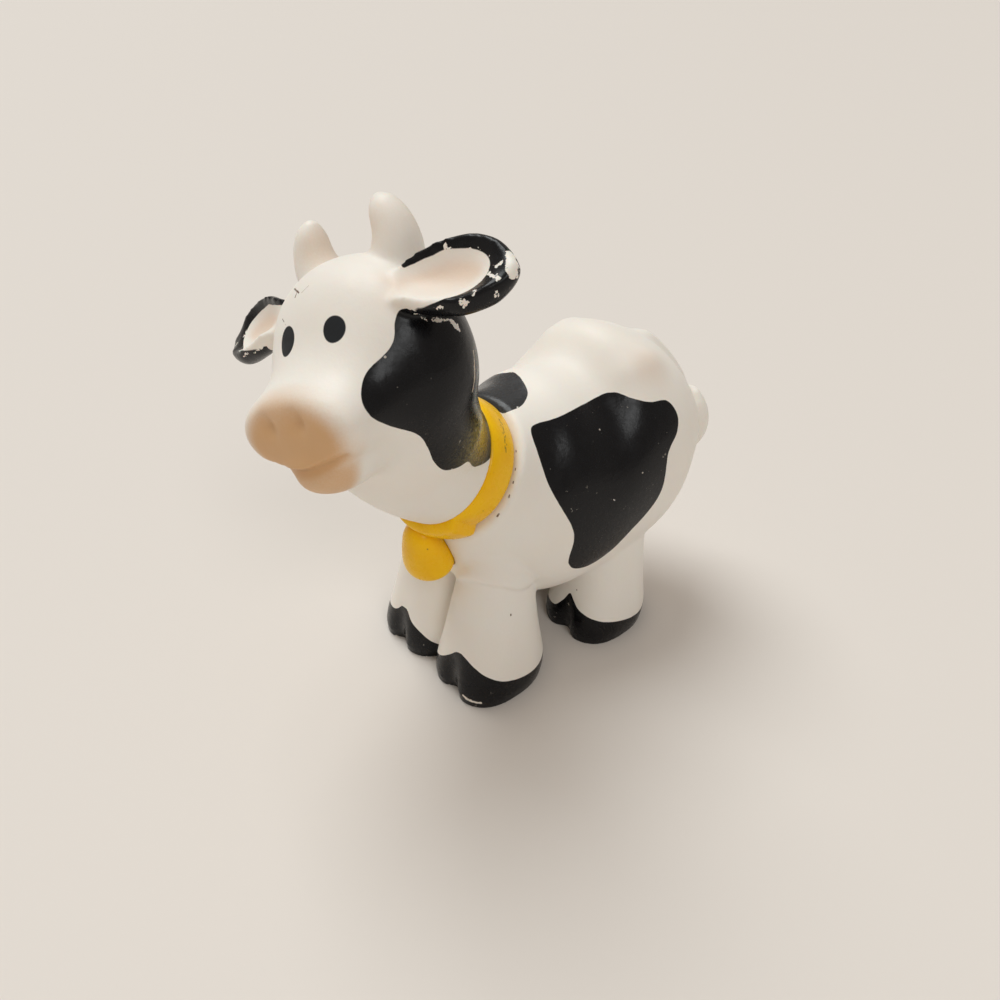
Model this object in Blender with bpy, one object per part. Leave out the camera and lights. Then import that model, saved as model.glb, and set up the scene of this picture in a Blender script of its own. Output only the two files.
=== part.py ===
"""A small moulded farm cow for toddlers, standing, with its head cocked to one side.

The real toy is soft vinyl in two mouldings: a body with its four legs, udder and tail, and a head
with its horns, ears and neck. The neck ends in a bung that snaps into a socket in the shoulders. A
yellow collar is trapped between the two, over the seam, and a bell hangs from its strap and lies in
a shallow bed in the chest. The cow looks along -Y, its left side is +X and it stands on Z = 0.

Each moulding starts as plain shapes that run into each other: lofts through a few rings, tubes that
swell and thin, and leaves. They are melted into one skin, smoothed as a mould would be, and then
cut flat at the soles and bored at the seam.
"""

import math

import bmesh
import bpy
import numpy as np
from mathutils import Matrix, Vector

# The trunk in side view, from the seat of the collar to the back of the rump
TRUNK_LENGTH = 0.03920
TRUNK_HEIGHT = 0.03436
TRUNK_WIDTH = 0.02899
BELLY_CLEARANCE = 0.00797
TRUNK_ROUNDNESS = 2.15

# The seat of the collar: its centre over the floor and ahead of the middle of the front legs
SEAT_HEIGHT = 0.03057
SEAT_FORWARD = 0.01961
SEAT_RISE_DEG = 34.0
SEAT_RADIUS = 0.00823
RIM_BEAD = 0.0005

# The legs, with the middle of each sole given from the same place as the seat
FRONT_SOLE_FORWARD = 0.01934
FRONT_SOLE_SPREAD = 0.00592
REAR_SOLE_BACK = 0.00028
REAR_SOLE_SPREAD = 0.00759
SOLE_LENGTH = 0.01588
SOLE_WIDTH = 0.01342
SHIN_LENGTH = 0.01041
SHIN_WIDTH = 0.00978
HIP_FORWARD = 0.00052
HIP_SPREAD = -0.00050
CLEFT_DEPTH = 0.0016
CLEFT_WIDTH = 0.0016
TOE_ROUNDNESS = 2.8

# The tail, which lies down the back of the rump and swings to the left at its tuft
TAIL_THICKNESS = 0.0036
TAIL_LIFT = -0.0008
TUFT_LENGTH = 0.0102
TUFT_WIDTH = 0.0066
TUFT_THICKNESS = 0.0044
TUFT_LIFT = 0.0024
TUFT_LEAN_DEG = 12.0

# The udder, between the hind legs
UDDER_RADIUS = 0.0042
UDDER_BACK = 0.0040
UDDER_DROP = 0.0016

# The head, measured from the middle of the skull
SKULL_HEIGHT = 0.02077
SKULL_WIDTH = 0.02195
SKULL_LENGTH = 0.01838
MUZZLE_REACH = 0.01228
CHIN_FORWARD = 0.00780
CHIN_DROP = 0.00538
CHIN_WIDTH = 0.00943
CHIN_LENGTH = 0.0110
CHIN_HEIGHT = 0.00704
NECK_SWELL = 0.00000
NECK_BROADEN = 0.00240
NECK_BROAD_SHARE = 0.60
THROAT_LOW = 0.00100

# The horns and the ears, from the middle of the skull
HORN_ROOT_SPREAD = 0.00962
HORN_ROOT_RISE = 0.0072
HORN_TIP_RISE = 0.01393
HORN_SPREAD = 0.00915
HORN_BACK = 0.00476
HORN_WIDTH = 0.00528
HORN_BOW = 0.00117
EAR_SPAN = 0.03984
EAR_WIDTH = 0.00755
EAR_THICKNESS = 0.00427
EAR_DISH = 0.0026
EAR_ROOT = 0.0070
EAR_SUNK = 0.0022
EAR_SINK = 0.0018
EAR_BACK = -0.00080
EAR_LOW = 0.00708
EAR_FORWARD = -0.00095
EAR_RISE = 0.00493
EAR_PITCH_DEG = 53.2
EAR_BOW = 0.00011
EAR_HOLLOW_POWER = 0.6
EAR_RIM_POWER = 0.8
EAR_BLUNTNESS = 6.0

# Where the middle of the skull stands from the middle of the collar's seat, and how it is turned
SKULL_FORWARD = 0.01249
SKULL_RISE = 0.01726
SKULL_ASIDE = 0.00115
HEAD_TILT_DEG = 23.6
HEAD_NOD_DEG = 3.7
HEAD_TURN_DEG = 14.6

# The nostrils, which are shallow dents in the face of the muzzle
NOSTRIL_RADIUS = 0.0008
NOSTRIL_DEPTH = 0.0003
NOSTRIL_SPREAD = 0.0042
NOSTRIL_LIFT = 0.0004

# The collar: a ring with a thicker strap over its front
COLLAR_WIDTH = 0.0040
COLLAR_THICKNESS = 0.0016
COLLAR_CROWN = 0.0005
CROWN_SHARE = 0.22
STRAP_LIFT = 0.0010
STRAP_DEG = 104.0
STRAP_RAMP_DEG = 6.0

# The bell, which hangs over the strap and leans back against the chest
BELL_LENGTH = 0.0074
BELL_WIDTH = 0.0070
BELL_THICKNESS = 0.0062
BELL_LEAN_DEG = 15.0
BELL_TOP_FORWARD = 0.0072
BELL_TOP_DROP = 0.0056

# The bung of the neck, and the barb that snaps into the groove of its socket
BUNG_RADIUS = 0.0058
BUNG_DEPTH = 0.0050
BUNG_BARB = 0.0005
BARB_WIDTH = 0.0012
BUNG_NOSE = 0.0008

# The clearance left between pieces that sit in each other, and what every cut overruns by
FIT = 0.0003
OVERRUN = 0.0030

# How finely the skins are melted and smoothed, and how many of their facets stay
BODY_GRAIN = 0.0006
HEAD_GRAIN = 0.0005
FORM_GRAIN = 0.0008
BODY_PASSES = 6
HEAD_PASSES = 5
FORM_PASSES = 14
BODY_FACETS = 6500
HEAD_FACETS = 5100

WHITE_VINYL = (0.86, 0.80, 0.72, 1.0)
COLLAR_YELLOW = (0.90, 0.62, 0.03, 1.0)
VINYL_ROUGHNESS = 0.45
PAINT_ROUGHNESS = 0.35

# The trunk as matched points along the back and the belly. The run is counted from the seat to the
# rump, lengths are shares of the trunk's length, heights of its height over the belly, and widths
# of its widest. The first point of each is the seat itself, which is worked out from its own sizes
TRUNK_RUN_SHARES = (0.10, 0.22, 0.36, 0.52, 0.68, 0.82, 0.92, 0.98, 1.00)
BACK_LENGTH_SHARES = (0.224, 0.309, 0.42, 0.55, 0.69, 0.82, 0.915, 0.98, 1.00)
BACK_HEIGHT_SHARES = (0.877, 0.906, 0.893, 1.00, 0.971, 0.875, 0.733, 0.50, 0.42)
BELLY_LENGTH_SHARES = (-0.08, 0.02, 0.20, 0.42, 0.62, 0.80, 0.905, 0.97, 1.00)
BELLY_HEIGHT_SHARES = (0.22, 0.147, 0.01, 0.00, 0.060, 0.171, 0.260, 0.32, 0.40)
TRUNK_WIDTH_SHARES = (0.658, 0.790, 0.920, 0.977, 1.00, 0.816, 0.647, 0.349, 0.10)

# A leg from under its sole to inside the trunk, with its size there as a share of the full one
LEG_RUN_SHARES = (-0.15, 0.00, 0.08, 0.20, 0.38, 0.60, 0.80, 1.00, 1.20, 1.40)
LEG_SIZE_SHARES = (0.93, 0.93, 0.985, 1.00, 0.98, 0.97, 0.975, 0.94, 0.80, 0.45)
HIP_DEPTH_SHARE = 0.25
TOE_SHARE = 0.42

# The tail: where it runs along the trunk, and how far round from the top to the left side
TAIL_RUN_SHARES = (0.67, 0.76, 0.84, 0.90, 0.93)
TAIL_TURN_DEG = (0.0, 4.0, 12.0, 24.0, 34.0)
TAIL_ROOT_SHARE = 0.30
TUFT_SWELL_SHARES = (0.35, 0.80, 1.00, 0.92, 0.62, 0.20)

# The head from the back of the skull to the face of the muzzle
HEAD_RUN_SHARES = (0.00, 0.03, 0.10, 0.22, 0.38, 0.52, 0.64, 0.74, 0.84, 0.92, 0.97, 1.00)
HEAD_WIDTH_SHARES = (0.05, 0.35, 0.66, 0.90, 1.00, 0.96, 0.82, 0.736, 0.700, 0.733, 0.688, 0.568)
HEAD_HEIGHT_SHARES = (0.05, 0.35, 0.66, 0.90, 1.00, 0.95, 0.78, 0.563, 0.446, 0.399, 0.369, 0.269)
HEAD_RISE_SHARES = (0.0, 0.0, 0.0, 0.0, 0.0, -0.01, -0.03, -0.061, -0.080, -0.085, -0.080, -0.080)
HEAD_ROUNDNESS = 2.1

# A horn from its root to its tip, and an ear from its root to its tip
HORN_SWELL_SHARES = (1.00, 0.98, 0.92, 0.82, 0.72, 0.58, 0.20)
EAR_RUN_SHARES = (0.0, 0.20, 0.42, 0.62, 0.80, 0.92, 1.0)
EAR_WIDTH_SHARES = (0.604, 0.733, 0.951, 1.0, 0.808, 0.476, 0.12)
DISH_SHARE = 0.80
DISH_RUN_SHARE = 0.96
EAR_TIP_SHARE = 0.02
EAR_SINK_SHARE = 0.32

# The bell from its crown to its mouth
BELL_RUN_SHARES = (0.0, 0.04, 0.15, 0.35, 0.60, 0.82, 0.93, 1.0)
BELL_SWELL_SHARES = (0.12, 0.34, 0.56, 0.76, 0.92, 1.00, 0.95, 0.74)


def material(name, colour, roughness):
    """A plain Principled material in the piece's own colour."""
    made = bpy.data.materials.new(name)
    made.use_nodes = True
    shader = made.node_tree.nodes["Principled BSDF"]
    shader.inputs["Base Color"].default_value = colour
    shader.inputs["Roughness"].default_value = roughness
    shader.inputs["Metallic"].default_value = 0.0
    return made


def through(stations, values, places):
    """Reads a smooth curve through the values given at the stations, without overshoot."""
    x = np.asarray(stations, float)
    y = np.asarray(values, float)
    steps = np.diff(x)
    slopes = np.diff(y) / steps
    tangents = np.zeros(len(x))
    for i in range(1, len(x) - 1):
        if slopes[i - 1] * slopes[i] > 0:
            near = 2 * steps[i] + steps[i - 1]
            far = steps[i] + 2 * steps[i - 1]
            tangents[i] = (near + far) / (near / slopes[i - 1] + far / slopes[i])
    tangents[0] = slopes[0]
    tangents[-1] = slopes[-1]
    out = []
    for place in np.atleast_1d(places):
        i = int(np.clip(np.searchsorted(x, place) - 1, 0, len(x) - 2))
        t = (place - x[i]) / steps[i]
        out.append(
            (2 * t**3 - 3 * t**2 + 1) * y[i]
            + (t**3 - 2 * t**2 + t) * steps[i] * tangents[i]
            + (3 * t**2 - 2 * t**3) * y[i + 1]
            + (t**3 - t**2) * steps[i] * tangents[i + 1]
        )
    return np.array(out)


def at(stations, values, place):
    """Reads one value of such a curve."""
    return float(through(stations, values, place)[0])


def evenly(values):
    """The stations from 0 to 1 for a table whose values are evenly spaced."""
    return np.linspace(0, 1, len(values))


def ring(centre, side, rise, half_side, half_rise, roundness=2.0, sides=40):
    """One closed ring of a loft: an ellipse, or squarer where roundness is over 2."""
    points = []
    for i in range(sides):
        turn = 2 * math.pi * i / sides
        c = math.cos(turn)
        s = math.sin(turn)
        across = math.copysign(abs(c) ** (2 / roundness), c) * half_side
        up = math.copysign(abs(s) ** (2 / roundness), s) * half_rise
        points.append(Vector(centre) + Vector(side) * across + Vector(rise) * up)
    return points


def loft(bm, rings):
    """Skins a row of rings with equal counts and closes both ends at their middles."""
    rows = [[bm.verts.new(p) for p in points] for points in rings]
    faces = []
    for low, high in zip(rows, rows[1:]):
        count = len(low)
        for i in range(count):
            j = (i + 1) % count
            faces.append(bm.faces.new((low[i], low[j], high[j], high[i])))
    for row in (rows[0], rows[-1]):
        middle = sum((v.co for v in row), Vector()) / len(row)
        hub = bm.verts.new(middle)
        for i, vert in enumerate(row):
            faces.append(bm.faces.new((vert, row[(i + 1) % len(row)], hub)))
    bmesh.ops.recalc_face_normals(bm, faces=faces)


def ball(bm, place, radii):
    """An ellipsoid with its three radii along the axes of its place."""
    made = bmesh.ops.create_uvsphere(bm, u_segments=40, v_segments=24, radius=1.0)
    stretch = Matrix.Diagonal((*radii, 1.0))
    bmesh.ops.transform(bm, matrix=place @ stretch, verts=made["verts"])


def frame(origin, x_axis, z_axis):
    """A place whose Z runs along z_axis and whose X is as near x_axis as it can be."""
    z = Vector(z_axis).normalized()
    y = z.cross(Vector(x_axis)).normalized()
    x = y.cross(z)
    turned = Matrix((x, y, z)).transposed().to_4x4()
    return Matrix.Translation(origin) @ turned


def worm(bm, points, radii, flat=1.0, side=(1, 0, 0), sides=28):
    """A tube along a row of points that swells and thins, flattened across side by flat."""
    points = [Vector(p) for p in points]
    rings = []
    for i, point in enumerate(points):
        ahead = points[min(i + 1, len(points) - 1)] - points[max(i - 1, 0)]
        place = frame(point, side, ahead)
        x = place.col[0].to_3d()
        y = place.col[1].to_3d()
        rings.append(ring(point, x, y, radii[i], radii[i] * flat, sides=sides))
    loft(bm, rings)


def revolve(bm, place, profile, sides=72):
    """Turns a closed profile of (radius, height) points about the Z axis of its place.

    A point with radius zero lies on the axis and becomes one vertex.
    """
    columns = []
    for radius, height in profile:
        if radius == 0:
            hub = bm.verts.new(place @ Vector((0, 0, height)))
            columns.append([hub] * sides)
            continue
        column = []
        for i in range(sides):
            turn = 2 * math.pi * i / sides
            column.append(bm.verts.new(place @ Vector((radius * math.cos(turn), radius * math.sin(turn), height))))
        columns.append(column)
    faces = []
    for near, far in zip(columns, columns[1:] + columns[:1]):
        for i in range(sides):
            j = (i + 1) % sides
            corners = []
            for vert in (near[i], near[j], far[j], far[i]):
                if vert not in corners:
                    corners.append(vert)
            if len(corners) > 2:
                faces.append(bm.faces.new(corners))
    bmesh.ops.recalc_face_normals(bm, faces=faces)


def mesh_of(name, bm):
    """Turns what was built in bm into a new mesh."""
    made = bpy.data.meshes.new(name)
    bm.to_mesh(made)
    bm.free()
    return made


def shaped(mesh, modifiers):
    """Runs a row of (type, settings) modifiers over a mesh and gives the result as a new mesh."""
    helper = bpy.data.objects.new(mesh.name + "_helper", mesh)
    bpy.context.collection.objects.link(helper)
    for kind, settings in modifiers:
        step = helper.modifiers.new(kind.lower(), kind)
        for key, value in settings.items():
            setattr(step, key, value)
    graph = bpy.context.evaluated_depsgraph_get()
    made = bpy.data.meshes.new_from_object(helper.evaluated_get(graph))
    bpy.data.objects.remove(helper)
    bpy.data.meshes.remove(mesh)
    return made


def skin(name, bm, grain, passes):
    """Melts every closed shape in bm into one skin and smooths it, as a new mesh."""
    melt = {"mode": "VOXEL", "voxel_size": grain}
    smooth = {"factor": 0.5, "iterations": passes}
    return shaped(mesh_of(name, bm), [("REMESH", melt), ("SMOOTH", smooth)])


def thinned(mesh, facets):
    """Leaves about so many triangles in a mesh, and fewest where it is flattest."""
    mesh.calc_loop_triangles()
    share = min(1.0, facets / len(mesh.loop_triangles))
    return shaped(mesh, [("DECIMATE", {"ratio": share})])


def cut(mesh, cutters):
    """Takes the closed shapes built by the cutters out of a mesh, exactly."""
    tools = []
    steps = []
    for i, build in enumerate(cutters):
        bm = bmesh.new()
        build(bm)
        tool = bpy.data.objects.new("cutter", mesh_of("cutter", bm))
        tool.display_type = "WIRE"
        tool.hide_render = True
        bpy.context.collection.objects.link(tool)
        tools.append(tool)
        steps.append(("BOOLEAN", {"operation": "DIFFERENCE", "solver": "EXACT", "object": tool}))
    made = shaped(mesh, steps)
    for tool in tools:
        spent = tool.data
        bpy.data.objects.remove(tool)
        bpy.data.meshes.remove(spent)
    return made


def floored(mesh):
    """Cuts a mesh flat where it passes under the floor and closes it there."""
    bm = bmesh.new()
    bm.from_mesh(mesh)
    everything = list(bm.verts) + list(bm.edges) + list(bm.faces)
    bmesh.ops.bisect_plane(bm, geom=everything, plane_co=(0, 0, 0), plane_no=(0, 0, -1), clear_outer=True)
    bmesh.ops.holes_fill(bm, edges=[e for e in bm.edges if e.is_boundary])
    bmesh.ops.triangulate(bm, faces=[f for f in bm.faces if len(f.verts) > 4])
    bm.to_mesh(mesh)
    bm.free()
    return mesh


# Places worked out from the driving dimensions

SEAT_RISE = math.radians(SEAT_RISE_DEG)
SEAT_AXIS = Vector((0, -math.cos(SEAT_RISE), math.sin(SEAT_RISE)))
SEAT = frame((0, -SEAT_FORWARD, SEAT_HEIGHT), (1, 0, 0), SEAT_AXIS)
SEAT_UP = Vector((0, math.sin(SEAT_RISE), math.cos(SEAT_RISE)))
HEAD = (
    Matrix.Translation(SEAT.translation + Vector((SKULL_ASIDE, -SKULL_FORWARD, SKULL_RISE)))
    @ Matrix.Rotation(math.radians(HEAD_TURN_DEG), 4, "Z")
    @ Matrix.Rotation(-math.radians(HEAD_TILT_DEG), 4, "Y")
    @ Matrix.Rotation(math.radians(HEAD_NOD_DEG), 4, "X")
)
NECK_RADIUS = SEAT_RADIUS - COLLAR_THICKNESS - FIT
NECK_TOP = COLLAR_WIDTH + 2 * FIT
BELL_LEAN = math.radians(BELL_LEAN_DEG)
BELL_AXIS = Vector((0, math.sin(BELL_LEAN), -math.cos(BELL_LEAN)))
BELL_TOP = Vector((0, -SEAT_FORWARD - BELL_TOP_FORWARD, SEAT_HEIGHT - BELL_TOP_DROP))


def trunk_section(share):
    """The top, the bottom and the half width of the trunk at a share of its run."""
    rim = SEAT_RADIUS + RIM_BEAD
    stations = (0.0,) + TRUNK_RUN_SHARES
    crest = SEAT.translation + SEAT_UP * rim
    chest = SEAT.translation - SEAT_UP * rim

    def read(first, shares, scale, base):
        values = [first] + [base + scale * s for s in shares]
        return at(stations, values, share)

    top = Vector((
        0,
        read(crest.y, BACK_LENGTH_SHARES, TRUNK_LENGTH, -SEAT_FORWARD),
        read(crest.z, BACK_HEIGHT_SHARES, TRUNK_HEIGHT, BELLY_CLEARANCE),
    ))
    bottom = Vector((
        0,
        read(chest.y, BELLY_LENGTH_SHARES, TRUNK_LENGTH, -SEAT_FORWARD),
        read(chest.z, BELLY_HEIGHT_SHARES, TRUNK_HEIGHT, BELLY_CLEARANCE),
    ))
    return top, bottom, read(rim, TRUNK_WIDTH_SHARES, TRUNK_WIDTH / 2, 0)


def trunk_point(share, turn):
    """A point of the trunk's skin, turned from the top of a section towards the left side."""
    top, bottom, half = trunk_section(share)
    power = 2 / TRUNK_ROUNDNESS
    up = (top - bottom) / 2
    return (top + bottom) / 2 + up * math.cos(turn) ** power + Vector((half * math.sin(turn) ** power, 0, 0))


def trunk(bm):
    """The barrel of the body, from a stub inside the collar to the rump."""
    rings = []
    for back in (OVERRUN, OVERRUN / 2):
        place = SEAT.translation + SEAT_AXIS * back
        rim = SEAT_RADIUS + RIM_BEAD
        rings.append(ring(place, (1, 0, 0), SEAT_UP, rim, rim, TRUNK_ROUNDNESS))
    for share in np.linspace(0, 1, 40):
        top, bottom, half = trunk_section(share)
        up = (top - bottom) / 2
        rings.append(ring((top + bottom) / 2, (1, 0, 0), up.normalized(), half, up.length, TRUNK_ROUNDNESS))
    loft(bm, rings)


def leg(bm, side, sole, hip):
    """One stubby leg: a hoof with two toes that runs up into the trunk."""
    rings = []
    sides = 56
    for share in np.linspace(LEG_RUN_SHARES[0], LEG_RUN_SHARES[-1], 36):
        size = at(LEG_RUN_SHARES, LEG_SIZE_SHARES, share)
        ease = min(max(share, 0.0), 1.0)
        middle = sole.lerp(hip, ease)
        middle.z = sole.z + (hip.z - sole.z) * share
        half_wide = (SOLE_WIDTH * (1 - ease) + SHIN_WIDTH * ease) / 2 * size
        half_long = (SOLE_LENGTH * (1 - ease) + SHIN_LENGTH * ease) / 2 * size
        toe = max(0.0, 1 - max(share, 0) / TOE_SHARE)
        toe_power = 2 / (2 + (TOE_ROUNDNESS - 2) * (1 - ease))
        points = []
        for i in range(sides):
            turn = 2 * math.pi * i / sides
            s = math.sin(turn)
            c = -math.cos(turn)
            power = toe_power if c < 0 else 1.0
            aside = math.copysign(abs(s) ** power, s) * half_wide
            ahead = math.copysign(abs(c) ** power, c) * half_long
            if c < 0:
                ahead += CLEFT_DEPTH * math.exp(-2 * (aside / CLEFT_WIDTH) ** 2) * toe
            points.append(middle + Vector((aside * side, ahead, 0)))
        rings.append(points)
    loft(bm, rings)


def tail(bm):
    """The tail down the back of the rump, and the tuft at its end that stands off the skin."""
    points = []
    for share, turn in zip(TAIL_RUN_SHARES, TAIL_TURN_DEG):
        points.append(trunk_point(share, math.radians(turn)))
    middle = (trunk_section(TAIL_RUN_SHARES[-1])[0] + trunk_section(TAIL_RUN_SHARES[-1])[1]) / 2
    middle.y = points[0].y
    path = []
    for share in np.linspace(0, 1, 16):
        spot = Vector([at(evenly(points), [p[i] for p in points], share) for i in range(3)])
        away = (spot - middle).normalized()
        sunk = max(0.0, 1 - share / TAIL_ROOT_SHARE) * TAIL_THICKNESS / 2
        path.append(spot + away * (TAIL_LIFT - sunk))
    worm(bm, path, [TAIL_THICKNESS / 2] * len(path))
    root = path[-2]
    away = (root - middle).normalized()
    away.z = 0
    away.normalize()
    lean = math.radians(TUFT_LEAN_DEG)
    down = away * math.sin(lean) - Vector((0, 0, math.cos(lean)))
    tuft = []
    radii = []
    for share in np.linspace(0, 1, 14):
        tuft.append(root + away * TUFT_LIFT + down * TUFT_LENGTH * share)
        radii.append(TUFT_WIDTH / 2 * at(evenly(TUFT_SWELL_SHARES), TUFT_SWELL_SHARES, share))
    worm(bm, tuft, radii, flat=TUFT_THICKNESS / TUFT_WIDTH, side=down.cross(away))


def bell_form(bm, grow=0.0):
    """The bell as a closed shape, grown on every side where it is a cutter for its own bed."""
    length = BELL_LENGTH + 2 * grow
    start = BELL_TOP - BELL_AXIS * grow
    points = []
    radii = []
    for share in np.linspace(0, 1, 14):
        points.append(start + BELL_AXIS * length * share)
        radii.append((BELL_WIDTH / 2 + grow) * at(BELL_RUN_SHARES, BELL_SWELL_SHARES, share))
    worm(bm, points, radii, flat=(BELL_THICKNESS / 2 + grow) / (BELL_WIDTH / 2 + grow), sides=30)


def bung_profile(grow):
    """The (radius, height) points of the bung from its nose to the seat, grown on every side."""
    barb_low = -BUNG_DEPTH + BUNG_NOSE
    barb_high = barb_low + BARB_WIDTH
    return [
        (0, -BUNG_DEPTH - grow),
        (BUNG_RADIUS - BUNG_NOSE + grow, -BUNG_DEPTH - grow),
        (BUNG_RADIUS + BUNG_BARB + grow, barb_low),
        (BUNG_RADIUS + BUNG_BARB + grow, barb_low + BARB_WIDTH / 3),
        (BUNG_RADIUS + grow, barb_high),
    ]


def socket_cutter(bm):
    """What leaves the body at the seam: the socket of the bung and all that stands past the seat."""
    wide = SEAT_RADIUS + OVERRUN
    profile = bung_profile(FIT) + [
        (BUNG_RADIUS + FIT, 0),
        (wide, 0),
        (wide, 2 * OVERRUN),
        (0, 2 * OVERRUN),
    ]
    revolve(bm, SEAT, profile)


def neck_cutter(bm):
    """What leaves the head at the seam: all round the bung and all that the collar has to fill."""
    wide = SEAT_RADIUS + OVERRUN
    profile = bung_profile(0) + [
        (BUNG_RADIUS, FIT),
        (NECK_RADIUS, FIT),
        (NECK_RADIUS, NECK_TOP),
        (wide, NECK_TOP),
        (wide, -BUNG_DEPTH - 2 * OVERRUN),
        (0, -BUNG_DEPTH - 2 * OVERRUN),
    ]
    revolve(bm, SEAT, profile)


def bell_bed(bm):
    """The room that the bell takes, with its clearance."""
    bell_form(bm, FIT)


def body():
    """The body moulding."""
    bm = bmesh.new()
    trunk(bm)
    hip = BELLY_CLEARANCE + TRUNK_HEIGHT * HIP_DEPTH_SHARE
    for side in (-1, 1):
        sole = Vector((side * FRONT_SOLE_SPREAD, -FRONT_SOLE_FORWARD, 0))
        leg(bm, side, sole, sole + Vector((side * HIP_SPREAD, HIP_FORWARD, hip)))
        sole = Vector((side * REAR_SOLE_SPREAD, REAR_SOLE_BACK, 0))
        leg(bm, side, sole, sole + Vector((0, HIP_FORWARD, hip)))
    tail(bm)
    udder = Matrix.Translation((0, UDDER_BACK, BELLY_CLEARANCE + UDDER_RADIUS - UDDER_DROP))
    ball(bm, udder, (UDDER_RADIUS, UDDER_RADIUS, UDDER_RADIUS))
    mesh = thinned(skin("body_shell", bm, BODY_GRAIN, BODY_PASSES), BODY_FACETS)
    return floored(cut(mesh, [socket_cutter, bell_bed]))


def ear(bm, side):
    """One ear: a thick leaf with a dish in its front."""
    root = Vector((side * EAR_ROOT, EAR_BACK, EAR_LOW))
    tip = Vector((side * EAR_SPAN / 2, -EAR_FORWARD, EAR_RISE))
    along = (tip - root).normalized()
    pitch = math.radians(EAR_PITCH_DEG)
    front = Vector((0, -math.cos(pitch), math.sin(pitch)))
    front = (front - along * front.dot(along)).normalized()
    up = front.cross(along)
    if up.z < 0:
        up = -up
    rings = []
    sides = 36
    for share in np.linspace(0, 1, 30):
        wide = EAR_WIDTH / 2 * at(EAR_RUN_SHARES, EAR_WIDTH_SHARES, share)
        thick = EAR_THICKNESS / 2 * min(1.0, math.sqrt(max(EAR_TIP_SHARE, (1 - share) * EAR_BLUNTNESS)))
        dish = EAR_DISH * math.sin(math.pi * min(1.0, share / DISH_RUN_SHARE)) ** EAR_HOLLOW_POWER
        middle = root.lerp(tip, share) + up * EAR_BOW * math.sin(math.pi * share)
        middle -= front * EAR_SINK * max(0.0, 1 - share / EAR_SINK_SHARE) ** 2
        points = []
        for i in range(sides):
            turn = 2 * math.pi * i / sides
            across = math.cos(turn)
            deep = math.sin(turn)
            out = thick * deep
            if deep > 0:
                out -= dish * max(0.0, 1 - (across / DISH_SHARE) ** 2) ** EAR_RIM_POWER
            points.append(middle + up * across * wide + front * out)
        rings.append(points)
    sunk = [point - along * EAR_SUNK for point in rings[0]]
    loft(bm, [sunk] + rings)


def horn(bm, side):
    """One stubby horn, bowed outwards."""
    root = Vector((side * HORN_ROOT_SPREAD / 2, HORN_BACK - HORN_BOW, HORN_ROOT_RISE))
    tip = Vector((side * HORN_SPREAD / 2, HORN_BACK, HORN_TIP_RISE))
    points = []
    radii = []
    for share in np.linspace(0, 1, 14):
        bow = Vector((side * HORN_BOW * math.sin(math.pi * share), 0, 0))
        points.append(root.lerp(tip, share) + bow)
        radii.append(HORN_WIDTH / 2 * at(evenly(HORN_SWELL_SHARES), HORN_SWELL_SHARES, share))
    worm(bm, points, radii)


def neck(bm):
    """The neck, from the bung through the collar and up into the skull, in the head's frame."""
    seat = HEAD.inverted() @ SEAT
    out = seat.col[2].to_3d()
    start = seat.translation + out * NECK_TOP
    end = Vector((0, 0, -THROAT_LOW))
    radius = SEAT_RADIUS - FIT
    points = [seat.translation - out * (BUNG_DEPTH + OVERRUN / 2), seat.translation, start]
    grown = [0.0, 0.0, 0.0]
    bend = start + out * (end - start).length / 2
    for share in np.linspace(0, 1, 11)[1:]:
        points.append(start.lerp(bend, share).lerp(bend.lerp(end, share), share))
        grown.append(min(share / NECK_BROAD_SHARE, 1.0))
    rings = []
    for i, point in enumerate(points):
        ahead = points[min(i + 1, len(points) - 1)] - points[max(i - 1, 0)]
        place = frame(point, (1, 0, 0), ahead)
        across = place.col[0].to_3d()
        rise = place.col[1].to_3d()
        wide = radius + (NECK_SWELL + NECK_BROADEN) * grown[i]
        deep = radius + NECK_SWELL * grown[i]
        rings.append(ring(point, across, rise, wide, deep, sides=28))
    loft(bm, rings)


def dented(mesh):
    """Presses the two nostrils into the face of the muzzle, in the head's frame."""
    face = -SKULL_LENGTH / 2
    middle = SKULL_HEIGHT * HEAD_RISE_SHARES[-1] + NOSTRIL_LIFT
    for side in (-1, 1):
        for vert in mesh.vertices:
            if vert.co.y > face:
                continue
            off = math.hypot(vert.co.x - side * NOSTRIL_SPREAD / 2, vert.co.z - middle)
            vert.co.y += NOSTRIL_DEPTH * math.exp(-((off / NOSTRIL_RADIUS) ** 2))
    return mesh


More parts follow.
